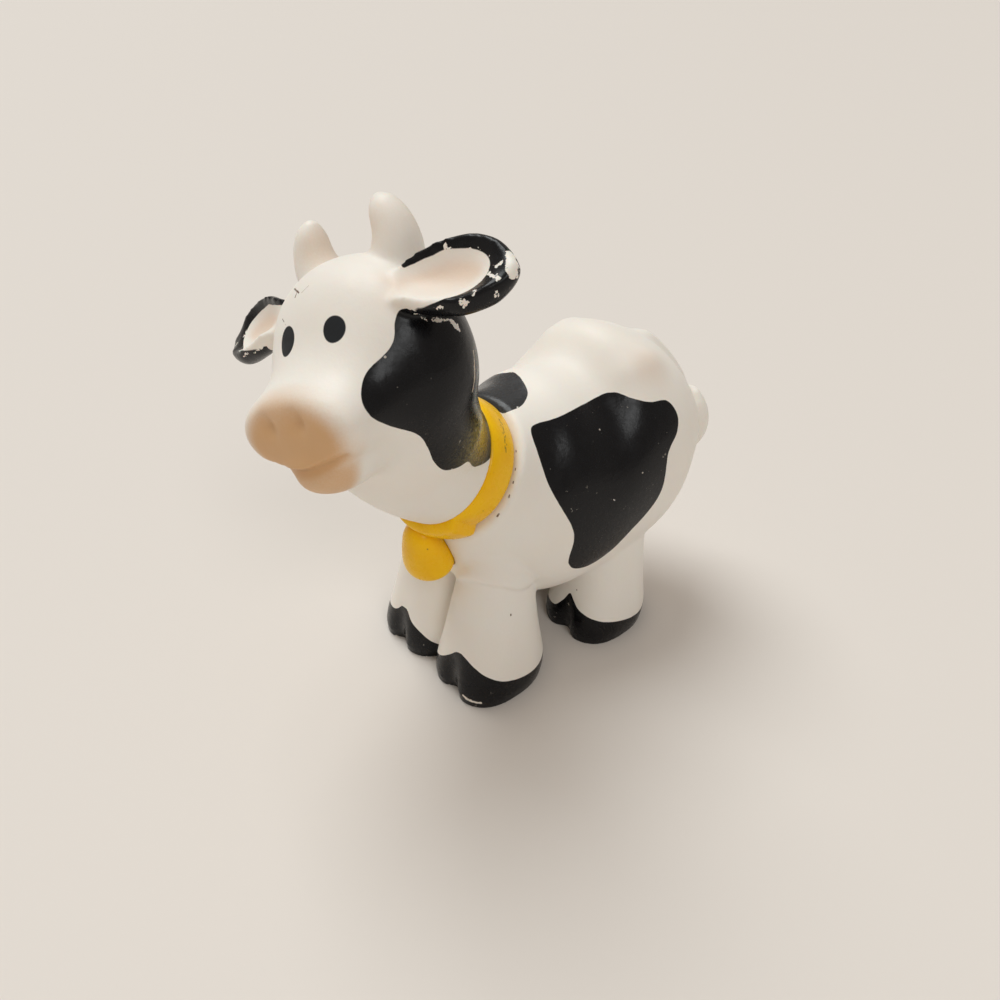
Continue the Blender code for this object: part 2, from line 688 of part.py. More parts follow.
def head():
    """The head moulding, built upright round the middle of the skull and then cocked."""
    bm = bmesh.new()
    rings = []
    run = SKULL_LENGTH / 2 + MUZZLE_REACH
    for share in np.linspace(0, 1, 48):
        rise = SKULL_HEIGHT * at(HEAD_RUN_SHARES, HEAD_RISE_SHARES, share)
        middle = Vector((0, SKULL_LENGTH / 2 - run * share, rise))
        half_wide = SKULL_WIDTH / 2 * at(HEAD_RUN_SHARES, HEAD_WIDTH_SHARES, share)
        half_high = SKULL_HEIGHT / 2 * at(HEAD_RUN_SHARES, HEAD_HEIGHT_SHARES, share)
        rings.append(ring(middle, (1, 0, 0), (0, 0, 1), half_wide, half_high, HEAD_ROUNDNESS))
    loft(bm, rings)
    chin = Matrix.Translation((0, -CHIN_FORWARD, -CHIN_DROP))
    ball(bm, chin, (CHIN_WIDTH / 2, CHIN_LENGTH / 2, CHIN_HEIGHT / 2))
    neck(bm)
    form = skin("head_form", bm, FORM_GRAIN, FORM_PASSES)
    bm = bmesh.new()
    bm.from_mesh(form)
    bpy.data.meshes.remove(form)
    for side in (-1, 1):
        horn(bm, side)
        ear(bm, side)
    mesh = dented(skin("head_shell", bm, HEAD_GRAIN, HEAD_PASSES))
    mesh.transform(HEAD)
    return cut(thinned(mesh, HEAD_FACETS), [neck_cutter])


def strap_share(turn):
    """How far the ring has risen into the strap, 0 to 1, at a turn from the bottom of the seat."""
    half = math.radians(STRAP_DEG) / 2
    ramp = math.radians(STRAP_RAMP_DEG)
    off = abs(math.remainder(turn, 2 * math.pi))
    return min(max((half - off) / ramp, 0.0), 1.0)


def collar():
    """The collar: a crowned ring round the neck, thicker where its strap crosses the chest."""
    bm = bmesh.new()
    inner = SEAT_RADIUS - COLLAR_THICKNESS
    stations = 96
    rows = []
    for i in range(stations):
        turn = 2 * math.pi * i / stations
        out = Vector((math.sin(turn), -math.cos(turn), 0))
        lift = STRAP_LIFT * strap_share(turn)
        edge = SEAT_RADIUS - COLLAR_CROWN + lift
        crown = SEAT_RADIUS + lift
        row = []
        for radius, rise in (
            (inner, FIT),
            (edge, FIT),
            (crown, FIT + COLLAR_WIDTH * CROWN_SHARE),
            (crown, FIT + COLLAR_WIDTH * (1 - CROWN_SHARE)),
            (edge, FIT + COLLAR_WIDTH),
            (inner, FIT + COLLAR_WIDTH),
        ):
            row.append(bm.verts.new(SEAT @ (out * radius + Vector((0, 0, rise)))))
        rows.append(row)
    for near, far in zip(rows, rows[1:] + rows[:1]):
        for i in range(len(near)):
            j = (i + 1) % len(near)
            bm.faces.new((near[i], near[j], far[j], far[i]))
    bmesh.ops.recalc_face_normals(bm, faces=bm.faces)
    return cut(mesh_of("collar", bm), [bell_bed])


def bell():
    """The bell."""
    bm = bmesh.new()
    bell_form(bm)
    return mesh_of("bell", bm)


def add(name, mesh, colour, roughness):
    """Puts a finished mesh in the scene as one named piece with its own material."""
    made = bpy.data.objects.new(name, mesh)
    bpy.context.collection.objects.link(made)
    mesh.materials.clear()
    mesh.materials.append(material(name, colour, roughness))
    return made


def centre(pieces):
    """Moves the finished pieces together until the toy stands centred on the origin."""
    corners = np.array([tuple(v.co) for piece in pieces for v in piece.data.vertices])
    middle = (corners.min(axis=0) + corners.max(axis=0)) / 2
    for piece in pieces:
        piece.location = Vector((-middle[0], -middle[1], 0))


def main():
    """Builds the toy."""
    for old in list(bpy.data.objects):
        bpy.data.objects.remove(old)
    pieces = [
        add("body_shell", body(), WHITE_VINYL, VINYL_ROUGHNESS),
        add("head_shell", head(), WHITE_VINYL, VINYL_ROUGHNESS),
        add("collar", collar(), COLLAR_YELLOW, PAINT_ROUGHNESS),
        add("bell", bell(), COLLAR_YELLOW, PAINT_ROUGHNESS),
    ]
    centre(pieces)


main()
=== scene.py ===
"""Dresses a small moulded toy farm cow: white vinyl with black painted patches, a tan muzzle and a
yellow collar with a bell.

The two mouldings are built from the same sizes as their solids, at a finer grain. Paint is not a
picture: each painted area is a signed distance in millimetres, worked out at the vertices from a
smooth outline in a chart of the surface, and the materials turn those distances into paint with
its edges, chips and wear. The pink in the hollows of the ear dishes and the darker yellow of the
bell are painted shade.
"""

import logging
import math
from contextlib import contextmanager
from dataclasses import dataclass, field
from enum import Enum, IntEnum
from typing import Iterator, Sequence

import bmesh
import bpy
import numpy as np
from mathutils import Matrix, Vector


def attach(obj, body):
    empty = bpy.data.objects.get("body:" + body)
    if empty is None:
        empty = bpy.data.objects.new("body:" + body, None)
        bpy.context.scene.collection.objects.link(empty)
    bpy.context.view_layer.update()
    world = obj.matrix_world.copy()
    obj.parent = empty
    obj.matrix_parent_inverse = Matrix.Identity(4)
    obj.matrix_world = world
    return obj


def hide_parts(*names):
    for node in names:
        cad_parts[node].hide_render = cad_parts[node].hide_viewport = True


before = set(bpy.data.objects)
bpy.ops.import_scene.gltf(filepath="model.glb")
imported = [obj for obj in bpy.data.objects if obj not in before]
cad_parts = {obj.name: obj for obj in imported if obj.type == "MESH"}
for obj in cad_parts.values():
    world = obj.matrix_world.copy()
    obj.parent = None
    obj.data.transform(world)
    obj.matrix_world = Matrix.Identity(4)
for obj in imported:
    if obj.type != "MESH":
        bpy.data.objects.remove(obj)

LOG = logging.getLogger("farm_cow")
MM = 0.001
TINY = 1e-12
ON_PLANE = 1e-6
WELD = 0.00004
EDGE_SLACK = 0.2
NO_PAINT = -99.0
X_AXIS = Vector((1, 0, 0))
Z_AXIS = Vector((0, 0, 1))
Shares = tuple[float, ...]
Span = tuple[float, float]
Place = tuple[float, float, float]
Colour = tuple[float, float, float, float]
Points = Sequence[Vector]
Socket = bpy.types.NodeSocket
BMesh = bmesh.types.BMesh
Mesh = bpy.types.Mesh
Material = bpy.types.Material
Rows = np.ndarray


class Side(IntEnum):
    """A side of the animal, as the sign of X there."""

    RIGHT = -1
    LEFT = 1


class Layer(Enum):
    """The vertex attributes that carry the paint.

    Black paint and eye paint are signed distances in millimetres, positive inside. The others say
    how strong their paint, wear or painted shade is, with 0 for none.
    """

    BLACK = "black_paint"
    TAN = "tan_spray"
    EYE = "eye_paint"
    WEAR = "edge_wear"
    YELLOW = "yellow_overspray"
    # Pink: a tint on the body's hip, and painted shade in the hollows of the ear dishes.
    PINK_AND_SHADE = "pink_and_shade"
    FADED = "faded_paint"


# Shared curve and mesh helpers


def through(stations: Sequence[float], values: Sequence[float], places: Sequence[float]) -> Rows:
    """Reads a smooth curve through the values given at the stations, without overshoot.

    Args:
        stations: Where the values are given, rising.
        values: The value at each station.
        places: Where the curve is read.

    Returns:
        The curve's values at the places.
    """
    x = np.asarray(stations, float)
    y = np.asarray(values, float)
    steps = np.diff(x)
    slopes = np.diff(y) / steps
    tangents = np.zeros(len(x))
    for i in range(1, len(x) - 1):
        if slopes[i - 1] * slopes[i] > 0:
            near = 2 * steps[i] + steps[i - 1]
            far = steps[i] + 2 * steps[i - 1]
            tangents[i] = (near + far) / (near / slopes[i - 1] + far / slopes[i])
    tangents[0] = slopes[0]
    tangents[-1] = slopes[-1]
    p = np.atleast_1d(np.asarray(places, float))
    i = np.clip(np.searchsorted(x, p) - 1, 0, len(x) - 2)
    t = (p - x[i]) / steps[i]
    return (
        (2 * t**3 - 3 * t**2 + 1) * y[i]
        + (t**3 - 2 * t**2 + t) * steps[i] * tangents[i]
        + (3 * t**2 - 2 * t**3) * y[i + 1]
        + (t**3 - t**2) * steps[i] * tangents[i + 1]
    )


def at(stations: Sequence[float], values: Sequence[float], place: float) -> float:
    """Reads one value of such a curve."""
    return float(through(stations, values, [place])[0])


def evenly(values: Sequence[float]) -> Rows:
    """The stations from 0 to 1 for a table whose values are evenly spaced."""
    return np.linspace(0, 1, len(values))


def ring(
    centre: Vector,
    side: Vector,
    rise: Vector,
    half_side: float,
    half_rise: float,
    roundness: float = 2.0,
    sides: int = 64,
) -> list[Vector]:
    """One closed ring of a loft: an ellipse, or squarer where roundness is over 2.

    Args:
        centre: The middle of the ring.
        side: The unit direction of its first axis.
        rise: The unit direction of its second axis.
        half_side: Half its size along side.
        half_rise: Half its size along rise.
        roundness: The power of the rounded shape, 2 for an ellipse.
        sides: How many points it has.

    Returns:
        The points in order.
    """
    points = []
    for i in range(sides):
        turn = 2 * math.pi * i / sides
        c = math.cos(turn)
        s = math.sin(turn)
        across = math.copysign(abs(c) ** (2 / roundness), c) * half_side
        up = math.copysign(abs(s) ** (2 / roundness), s) * half_rise
        points.append(Vector(centre) + Vector(side) * across + Vector(rise) * up)
    return points


def loft(bm: BMesh, rings: Sequence[Points]) -> None:
    """Skins a row of rings with equal counts and closes both ends at their middles.

    Args:
        bm: The mesh that takes the faces.
        rings: The rings in order.
    """
    rows = [[bm.verts.new(p) for p in points] for points in rings]
    faces = []
    for low, high in zip(rows, rows[1:]):
        count = len(low)
        for i in range(count):
            j = (i + 1) % count
            faces.append(bm.faces.new((low[i], low[j], high[j], high[i])))
    for row in (rows[0], rows[-1]):
        middle = sum((v.co for v in row), Vector()) / len(row)
        hub = bm.verts.new(middle)
        for i, vert in enumerate(row):
            faces.append(bm.faces.new((vert, row[(i + 1) % len(row)], hub)))
    bmesh.ops.recalc_face_normals(bm, faces=faces)


def ball(bm: BMesh, place: Matrix, radii: Sequence[float]) -> None:
    """Adds an ellipsoid with its three radii along the axes of its place."""
    made = bmesh.ops.create_uvsphere(bm, u_segments=64, v_segments=40, radius=1.0)
    stretch = Matrix.Diagonal((*radii, 1.0))
    bmesh.ops.transform(bm, matrix=place @ stretch, verts=made["verts"])


def placed(origin: Sequence[float], x_axis: Sequence[float], z_axis: Sequence[float]) -> Matrix:
    """A place whose Z runs along z_axis and whose X is as near x_axis as it can be."""
    z = Vector(z_axis).normalized()
    y = z.cross(Vector(x_axis)).normalized()
    x = y.cross(z)
    turned = Matrix((x, y, z)).transposed().to_4x4()
    return Matrix.Translation(origin) @ turned


def worm(
    bm: BMesh,
    points: Points,
    radii: Sequence[float],
    flat: float = 1.0,
    side: Sequence[float] = (1, 0, 0),
    sides: int = 48,
) -> None:
    """Adds a tube along a row of points that swells and thins.

    Args:
        bm: The mesh that takes the faces.
        points: The middle line.
        radii: The radius at each point.
        flat: Its thickness across side as a share of its width.
        side: The direction in which it is widest.
        sides: How many facets it has round.
    """
    path = [Vector(p) for p in points]
    rings = []
    for i, point in enumerate(path):
        ahead = path[min(i + 1, len(path) - 1)] - path[max(i - 1, 0)]
        place = placed(point, side, ahead)
        x = place.col[0].to_3d()
        y = place.col[1].to_3d()
        rings.append(ring(point, x, y, radii[i], radii[i] * flat, sides=sides))
    loft(bm, rings)


def added(name: str, data: bpy.types.ID) -> bpy.types.Object:
    """A new object in the scene, with the data given."""
    made = bpy.data.objects.new(name, data)
    bpy.context.collection.objects.link(made)
    return made


def evaluated(thing: bpy.types.Object) -> Mesh:
    """The mesh that an object's modifiers make, as a plain mesh of its own."""
    graph = bpy.context.evaluated_depsgraph_get()
    return bpy.data.meshes.new_from_object(thing.evaluated_get(graph))


@contextmanager
def editing(mesh: Mesh) -> Iterator[BMesh]:
    """Opens a mesh for edits and writes them back."""
    bm = bmesh.new()
    bm.from_mesh(mesh)
    yield bm
    bm.to_mesh(mesh)
    bm.free()


def skin(name: str, bm: BMesh, grain: float, passes: int) -> Mesh:
    """Melts every closed shape in bm into one skin and smooths it.

    Args:
        name: The name of the new mesh.
        bm: The shapes, which are used up.
        grain: How fine the skin is, in metres.
        passes: How often it is smoothed.

    Returns:
        The skin as a mesh of its own.
    """
    raw = bpy.data.meshes.new(name)
    bm.to_mesh(raw)
    bm.free()
    helper = added(name + "_helper", raw)
    melt = helper.modifiers.new("melt", "REMESH")
    melt.mode = "VOXEL"
    melt.voxel_size = grain
    smooth = helper.modifiers.new("smooth", "SMOOTH")
    smooth.factor = 0.5
    smooth.iterations = passes
    made = evaluated(helper)
    bpy.data.objects.remove(helper)
    bpy.data.meshes.remove(raw)
    return made


def vertex_rows(mesh: Mesh, what: str) -> Rows:
    """A vector of every vertex of a mesh, such as its place or its normal, as an array of rows."""
    out = np.empty(len(mesh.vertices) * 3)
    mesh.vertices.foreach_get(what, out)
    return out.reshape(-1, 3)


def coordinates(mesh: Mesh) -> Rows:
    """The places of the vertices of a mesh as rows."""
    return vertex_rows(mesh, "co")


def put_coordinates(mesh: Mesh, rows: Rows) -> None:
    """Moves the vertices of a mesh to the rows given."""
    mesh.vertices.foreach_set("co", rows.ravel())
    mesh.update()


def moved_by(rows: Rows, place: Matrix) -> Rows:
    """The rows moved by a place."""
    move = np.array(place)
    return rows @ move[:3, :3].T + move[:3, 3]


def local(rows: Rows, place: Matrix) -> Rows:
    """The rows as seen from a place."""
    return moved_by(rows, place.inverted())


def step(values: Rows, low: float, high: float) -> Rows:
    """A soft step from 0 at low to 1 at high."""
    t = np.clip((values - low) / (high - low), 0.0, 1.0)
    return t * t * (3 - 2 * t)


def glow(rows: Rows, centre: Sequence[float], size: float) -> Rows:
    """A soft round spot on the rows: 1 in its middle, with its centre and size in millimetres."""
    off = np.linalg.norm(rows / MM - np.array(centre), axis=1) / size
    return np.exp(-(off**2))


def fold(gap: Rows, below: float, above: float) -> Rows:
    """How deep a fold is at a signed height above its crease: slow to fade below it, quick above it."""
    return np.where(gap < 0, np.exp(np.minimum(gap, 0) / below), np.exp(-((gap / above) ** 2)))


def eased(table: Rows, passes: int, share: Rows) -> Rows:
    """Evens out the rows of a table, each by its own share, with the first and last rows kept."""
    table = table.copy()
    for _ in range(passes):
        mean = (table[:-2] + 2 * table[1:-1] + table[2:]) / 4
        table[1:-1] += (mean - table[1:-1]) * share[1:-1, None]
    return table


@dataclass(frozen=True)
class Outline:
    """A smooth closed outline through a few points of a flat chart.

    Args:
        points: The points in order, in the chart's units.
        fine: How many steps each span is cut into.
    """

    points: tuple[tuple[float, float], ...]
    fine: int = 8

    def polygon(self) -> Rows:
        """The outline as a fine polygon."""
        p = np.asarray(self.points, float)
        a = np.roll(p, 1, 0)
        c = np.roll(p, -1, 0)
        d = np.roll(p, -2, 0)
        rows = []
        for t in np.arange(self.fine) / self.fine:
            bend = (2 * a - 5 * p + 4 * c - d) * t**2 + (3 * p - a - 3 * c + d) * t**3
            rows.append(0.5 * (2 * p + (c - a) * t + bend))
        return np.stack(rows, 1).reshape(-1, 2)

    def distance(self, xy: Rows) -> Rows:
        """The signed distance of each row of xy to the outline, positive inside."""
        edge = self.polygon()
        best = np.full(len(xy), np.inf)
        inside = np.zeros(len(xy), bool)
        for p, q in zip(edge, np.roll(edge, -1, 0)):
            run = q - p
            size = max(float(run @ run), TINY)
            t = np.clip(((xy - p) @ run) / size, 0, 1)
            best = np.minimum(best, ((xy - p - t[:, None] * run) ** 2).sum(1))
            crosses = (p[1] > xy[:, 1]) != (q[1] > xy[:, 1])
            rise = q[1] - p[1] if q[1] != p[1] else TINY
            inside ^= crosses & (xy[:, 0] < run[0] * (xy[:, 1] - p[1]) / rise + p[0])
        return np.sqrt(best) * np.where(inside, 1, -1)


def at_share(path: Points, share: float) -> Vector:
    """A point of a row of points, at a share of its count."""
    place = share * (len(path) - 1)
    low = min(int(place), len(path) - 2)
    return path[low].lerp(path[low + 1], place - low)


def bisected(bm: BMesh, point: Vector, normal: Vector, clear_outer: bool = False) -> None:
    """Cuts every face where a plane crosses it, and clears the side that the normal points to if asked."""
    everything = list(bm.verts) + list(bm.edges) + list(bm.faces)
    bmesh.ops.bisect_plane(
        bm, geom=everything, plane_co=point, plane_no=normal, clear_outer=clear_outer
    )


def flat_cut(mesh: Mesh, point: Vector, outwards: Vector, soften: float) -> None:
    """Cuts a mesh flat, closes it there and softens the edge of the cut.

    Args:
        mesh: The mesh that is cut.
        point: A point of the plane.
        outwards: The plane's normal, on the side that goes.
        soften: How wide the edge is rounded, or 0 to leave it sharp.
    """
    with editing(mesh) as bm:
        bisected(bm, point, outwards, clear_outer=True)
        bmesh.ops.remove_doubles(bm, verts=[v for v in bm.verts if v.is_boundary], dist=WELD)
        made = bmesh.ops.holes_fill(bm, edges=[e for e in bm.edges if e.is_boundary])["faces"]
        if soften > 0:
            bmesh.ops.inset_region(bm, faces=made, thickness=soften, use_even_offset=True)
            rim = [v for v in bm.verts if abs((v.co - point).dot(outwards)) < ON_PLANE]
            axes = {"use_axis_x": True, "use_axis_y": True, "use_axis_z": True}
            bmesh.ops.smooth_vert(bm, verts=rim, factor=0.5, **axes)


def scored(mesh: Mesh, point: Vector, normal: Vector, gap: float) -> None:
    """Gives a mesh two rings of edges where two planes cross it, a small gap apart.

    Args:
        mesh: The mesh.
        point: A point of the first plane.
        normal: The normal of both.
        gap: How far the second plane is from the first.
    """
    with editing(mesh) as bm:
        for place in (point, point + normal * gap):
            bisected(bm, place, normal)


def rounded_edge(
    mesh: Mesh, place: Matrix, radius: float, size: float, face: float, sign: float
) -> None:
    """Rounds the outer edge of a round end face.

    Args:
        mesh: The mesh.
        place: The middle of the round form, with Z along its axis.
        radius: The radius of the edge.
        size: The radius of the rounding.
        face: How high along Z the end face is.
        sign: 1 where the form ends above the face, -1 where it ends below.
    """
    rows = coordinates(mesh)
    seen = local(rows, place)
    out = np.hypot(seen[:, 0], seen[:, 1])
    height = (seen[:, 2] - face) * sign
    depth = np.where(height > size * EDGE_SLACK, 0.0, np.clip(height + size, 0, size))
    pull = size - np.sqrt(np.maximum(size**2 - depth**2, 0.0))
    near = (out > radius - 2 * size) & (out < radius * (1 + EDGE_SLACK))
    seen[:, :2] *= (1 - pull * near / radius)[:, None]
    put_coordinates(mesh, moved_by(seen, place))


def faced(mesh: Mesh) -> None:
    """Turns every face of a closed mesh outwards."""
    with editing(mesh) as bm:
        bmesh.ops.recalc_face_normals(bm, faces=bm.faces)
        if bm.calc_volume(signed=True) < 0:
            bmesh.ops.reverse_faces(bm, faces=bm.faces)


def carved(mesh: Mesh, cutter: Mesh) -> Mesh:
    """Takes one closed mesh out of another.

    Args:
        mesh: The mesh that keeps its outside, which is used up.
        cutter: What is taken out of it, which is used up.

    Returns:
        The mesh that is left.
    """
    kept = added("carved", mesh)
    carver = added("carver", cutter)
    cut = kept.modifiers.new("cut", "BOOLEAN")
    cut.operation = "DIFFERENCE"
    cut.solver = "EXACT"
    cut.object = carver
    made = evaluated(kept)
    for helper in (kept, carver):
        bpy.data.objects.remove(helper)
    bpy.data.meshes.remove(mesh)
    bpy.data.meshes.remove(cutter)
    faced(made)
    return made


# The places and shapes of the two mouldings, from the same sizes as their solids


@dataclass(frozen=True)
class Seat:
    """The seat of the collar in the shoulders, which every piece is set against."""

    height: float = 0.03057
    forward: float = 0.01961
    rise_deg: float = 34.0
    radius: float = 0.00823
    bead: float = 0.0005
    overrun: float = 0.0030

    @property
    def axis(self) -> Vector:
        """The direction in which the neck leaves the seat."""
        rise = math.radians(self.rise_deg)
        return Vector((0, -math.cos(rise), math.sin(rise)))

    @property
    def up(self) -> Vector:
        """The direction across the seat that climbs most."""
        rise = math.radians(self.rise_deg)
        return Vector((0, math.sin(rise), math.cos(rise)))

    @property
    def place(self) -> Matrix:
        """The seat as a place, with its Z along the neck."""
        return placed((0, -self.forward, self.height), X_AXIS, self.axis)


@dataclass(frozen=True)
class Swell:
    """A soft swelling of a moulding, in millimetres, on both sides of it.

    Args:
        centre: Its middle, on the left side.
        radius: How far it reaches.
        push: How far its middle moves, on the left side.
    """

    centre: Place
    radius: float
    push: Place

    def moved(self, rows: Rows) -> Rows:
        """How far each row of rows moves, in metres."""
        out = np.zeros_like(rows)
        for side in Side:
            mirror = np.array((side, 1, 1))
            spot = glow(rows, np.array(self.centre) * mirror, self.radius)
            out += spot[:, None] * np.array(self.push) * mirror * MM
        return out


@dataclass
class BodyMoulding:
    """The body moulding: trunk, four legs with their hooves, udder and tail."""

    seat: Seat
    length: float = 0.03920
    height: float = 0.03436
    width: float = 0.02899
    clearance: float = 0.00797
    roundness: float = 2.15
    run_shares: Shares = (0.10, 0.22, 0.36, 0.52, 0.68, 0.82, 0.92, 0.98, 1.00)
    back_lengths: Shares = (0.224, 0.309, 0.42, 0.55, 0.69, 0.82, 0.915, 0.98, 1.00)
    back_heights: Shares = (0.877, 0.906, 0.893, 1.00, 0.971, 0.875, 0.733, 0.50, 0.42)
    belly_lengths: Shares = (-0.08, 0.02, 0.20, 0.42, 0.62, 0.80, 0.905, 0.97, 1.00)
    belly_heights: Shares = (0.22, 0.147, 0.01, 0.00, 0.060, 0.171, 0.260, 0.32, 0.40)
    widths: Shares = (0.658, 0.790, 0.920, 0.977, 1.00, 0.816, 0.647, 0.349, 0.10)
    front_forward: float = 0.01934
    front_spread: float = 0.00592
    rear_back: float = 0.00028
    rear_spread: float = 0.00759
    sole_length: float = 0.01588
    sole_width: float = 0.01342
    shin_length: float = 0.01041
    shin_width: float = 0.00978
    hip_forward: float = 0.00052
    hip_spread: float = -0.00050
    hip_depth: float = 0.25
    leg_runs: Shares = (-0.15, 0.00, 0.08, 0.20, 0.38, 0.60, 0.80, 1.00, 1.20, 1.40)
    leg_swells: Shares = (0.93, 0.93, 0.985, 1.00, 0.98, 0.97, 0.975, 0.94, 0.80, 0.45)
    leg_steps: int = 64
    leg_sides: int = 96
    toe_share: float = 0.42
    toe_roundness: float = 2.8
    cleft_depth: float = 0.0016
    cleft_width: float = 0.0016
    tail_thickness: float = 0.0036
    tail_lift: float = -0.0008
    tail_runs: Shares = (0.67, 0.76, 0.84, 0.90, 0.93)
    tail_turns: Shares = (0.0, 4.0, 12.0, 24.0, 34.0)
    tail_root: float = 0.30
    tail_steps: int = 32
    tuft_root_share: float = 14 / 15
    tuft_steps: int = 28
    tuft_length: float = 0.0102
    tuft_width: float = 0.0066
    tuft_thickness: float = 0.0044
    tuft_lift: float = 0.0024
    tuft_lean_deg: float = 12.0
    tuft_swells: Shares = (0.35, 0.80, 1.00, 0.92, 0.62, 0.20)
    udder_radius: float = 0.0042
    udder_back: float = 0.0040
    udder_drop: float = 0.0016
    grain: float = 0.0003
    passes: int = 24
    trunk_steps: int = 80
    trunk_ease: int = 14
    ease_until_share: float = 0.92
    ease_fade_share: float = 0.12
    ease_least_share: float = 0.25
    rim_round: float = 0.0006
    rim_soften: float = 0.0003
    sole_soften: float = 0.00035
    fold_angles: Shares = (-35, 21, 56, 92, 125)
    fold_heights: Shares = (0.0155, 0.0179, 0.0176, 0.0162, 0.0152)
    fold_starts: Span = (-62.0, -35.0)
    fold_ends: Span = (128.0, 158.0)
    fold_depth: float = 0.0004
    fold_below: float = 0.0022
    fold_above: float = 0.0004
    fold_swell: float = 0.0002
    fold_swell_rise: float = 0.0012
    fold_swell_size: float = 0.0009
    fold_reach: float = 0.0072
    swells: tuple[Swell, ...] = (
        Swell((2.5, 2.2, 42.0), 4.6, (0.0, 0.0, 0.38)),
        Swell((9.2, -1.6, 36.6), 5.4, (-0.5, 0.0, -0.7)),
        Swell((7.4, 4.8, 40.1), 2.5, (0.35, 0.0, 0.6)),
        Swell((7.4, 0.9, 39.6), 1.8, (0.15, 0.0, 0.3)),
    )

    def section(self, share: float) -> tuple[Vector, Vector, float]:
        """The top, the bottom and the half width of the trunk at a share of its run."""
        rim = self.seat.radius + self.seat.bead
        middle = self.seat.place.translation
        stations = (0.0,) + self.run_shares

        def read(first: float, shares: Shares, scale: float, base: float) -> float:
            """One value of a table whose first entry is the seat's own."""
            return at(stations, [first] + [base + scale * s for s in shares], share)

        ends = []
        for sign, lengths, heights in (
            (1, self.back_lengths, self.back_heights),
            (-1, self.belly_lengths, self.belly_heights),
        ):
            edge = middle + self.seat.up * rim * sign
            ends.append(Vector((
                0,
                read(edge.y, lengths, self.length, -self.seat.forward),
                read(edge.z, heights, self.height, self.clearance),
            )))
        return ends[0], ends[1], read(rim, self.widths, self.width / 2, 0)

    def on_skin(self, share: float, turn: float) -> Vector:
        """A point of the trunk's skin, turned from the top of a section towards the left."""
        top, bottom, half = self.section(share)
        power = 2 / self.roundness
        up = (top - bottom) / 2
        across = Vector((half * math.sin(turn) ** power, 0, 0))
        return (top + bottom) / 2 + up * math.cos(turn) ** power + across

    def trunk(self, bm: BMesh) -> None:
        """Adds the barrel of the body, from a stub inside the collar to the rump."""
        rim = self.seat.radius + self.seat.bead
        rings = []
        for back in (self.seat.overrun, self.seat.overrun / 2):
            place = self.seat.place.translation + self.seat.axis * back
            rings.append(ring(place, X_AXIS, self.seat.up, rim, rim, self.roundness))
        shares = np.linspace(0, 1, self.trunk_steps)
        table = []
        for share in shares:
            top, bottom, half = self.section(share)
            table.append((*top, *bottom, half))
        keep = (self.ease_until_share - shares) / self.ease_fade_share
        keep = np.clip(keep, self.ease_least_share, 1)
        for row in eased(np.array(table), self.trunk_ease, keep):
            top = Vector(row[:3])
            bottom = Vector(row[3:6])
            half = row[6]
            up = (top - bottom) / 2
            middle = (top + bottom) / 2
            rings.append(ring(middle, X_AXIS, up.normalized(), half, up.length, self.roundness))
        loft(bm, rings)

    def legs(self) -> list[tuple[Side, Vector, Vector]]:
        """Each leg as its side, the middle of its sole and the middle of its hip."""
        hip = self.clearance + self.height * self.hip_depth
        out = []
        for side in Side:
            sole = Vector((side * self.front_spread, -self.front_forward, 0))
            out.append((side, sole, sole + Vector((side * self.hip_spread, self.hip_forward, hip))))
            sole = Vector((side * self.rear_spread, self.rear_back, 0))
            out.append((side, sole, sole + Vector((0, self.hip_forward, hip))))
        return out

    def leg(self, bm: BMesh, side: Side, sole: Vector, hip: Vector) -> None:
        """Adds one stubby leg: a hoof with two toes that runs up into the trunk.

        Args:
            bm: The mesh that takes it.
            side: Its side.
            sole: The middle of its sole.
            hip: The middle of its upper end.
        """
        rings = []
        for share in np.linspace(self.leg_runs[0], self.leg_runs[-1], self.leg_steps):
            size = at(self.leg_runs, self.leg_swells, share)
            ease = min(max(share, 0.0), 1.0)
            middle = sole.lerp(hip, ease)
            middle.z = sole.z + (hip.z - sole.z) * share
            half_wide = (self.sole_width * (1 - ease) + self.shin_width * ease) / 2 * size
            half_long = (self.sole_length * (1 - ease) + self.shin_length * ease) / 2 * size
            toe = max(0.0, 1 - max(share, 0) / self.toe_share)
            toe_power = 2 / (2 + (self.toe_roundness - 2) * (1 - ease))
            points = []
            for i in range(self.leg_sides):
                turn = 2 * math.pi * i / self.leg_sides
                s = math.sin(turn)
                c = -math.cos(turn)
                power = toe_power if c < 0 else 1.0
                aside = math.copysign(abs(s) ** power, s) * half_wide
                ahead = math.copysign(abs(c) ** power, c) * half_long
                if c < 0:
                    ahead += self.cleft_depth * math.exp(-2 * (aside / self.cleft_width) ** 2) * toe
                points.append(middle + Vector((aside * side, ahead, 0)))
            rings.append(points)
        loft(bm, rings)

    def tail(self, bm: BMesh) -> None:
        """Adds the tail down the back of the rump, and the tuft that stands off the skin."""
        points = [self.on_skin(s, math.radians(t)) for s, t in zip(self.tail_runs, self.tail_turns)]
        top, bottom, _ = self.section(self.tail_runs[-1])
        middle = (top + bottom) / 2
        middle.y = points[0].y
        path = []
        for share in np.linspace(0, 1, self.tail_steps):
            spot = Vector([at(evenly(points), [p[i] for p in points], share) for i in range(3)])
            away = (spot - middle).normalized()
            sunk = max(0.0, 1 - share / self.tail_root) * self.tail_thickness / 2
            path.append(spot + away * (self.tail_lift - sunk))
        worm(bm, path, [self.tail_thickness / 2] * len(path))
        root = at_share(path, self.tuft_root_share)
        away = root - middle
        away.z = 0
        away.normalize()
        lean = math.radians(self.tuft_lean_deg)
        down = away * math.sin(lean) - Z_AXIS * math.cos(lean)
        tuft = []
        radii = []
        for share in np.linspace(0, 1, self.tuft_steps):
            tuft.append(root + away * self.tuft_lift + down * self.tuft_length * share)
            radii.append(self.tuft_width / 2 * at(evenly(self.tuft_swells), self.tuft_swells, share))
        worm(bm, tuft, radii, flat=self.tuft_thickness / self.tuft_width, side=down.cross(away))

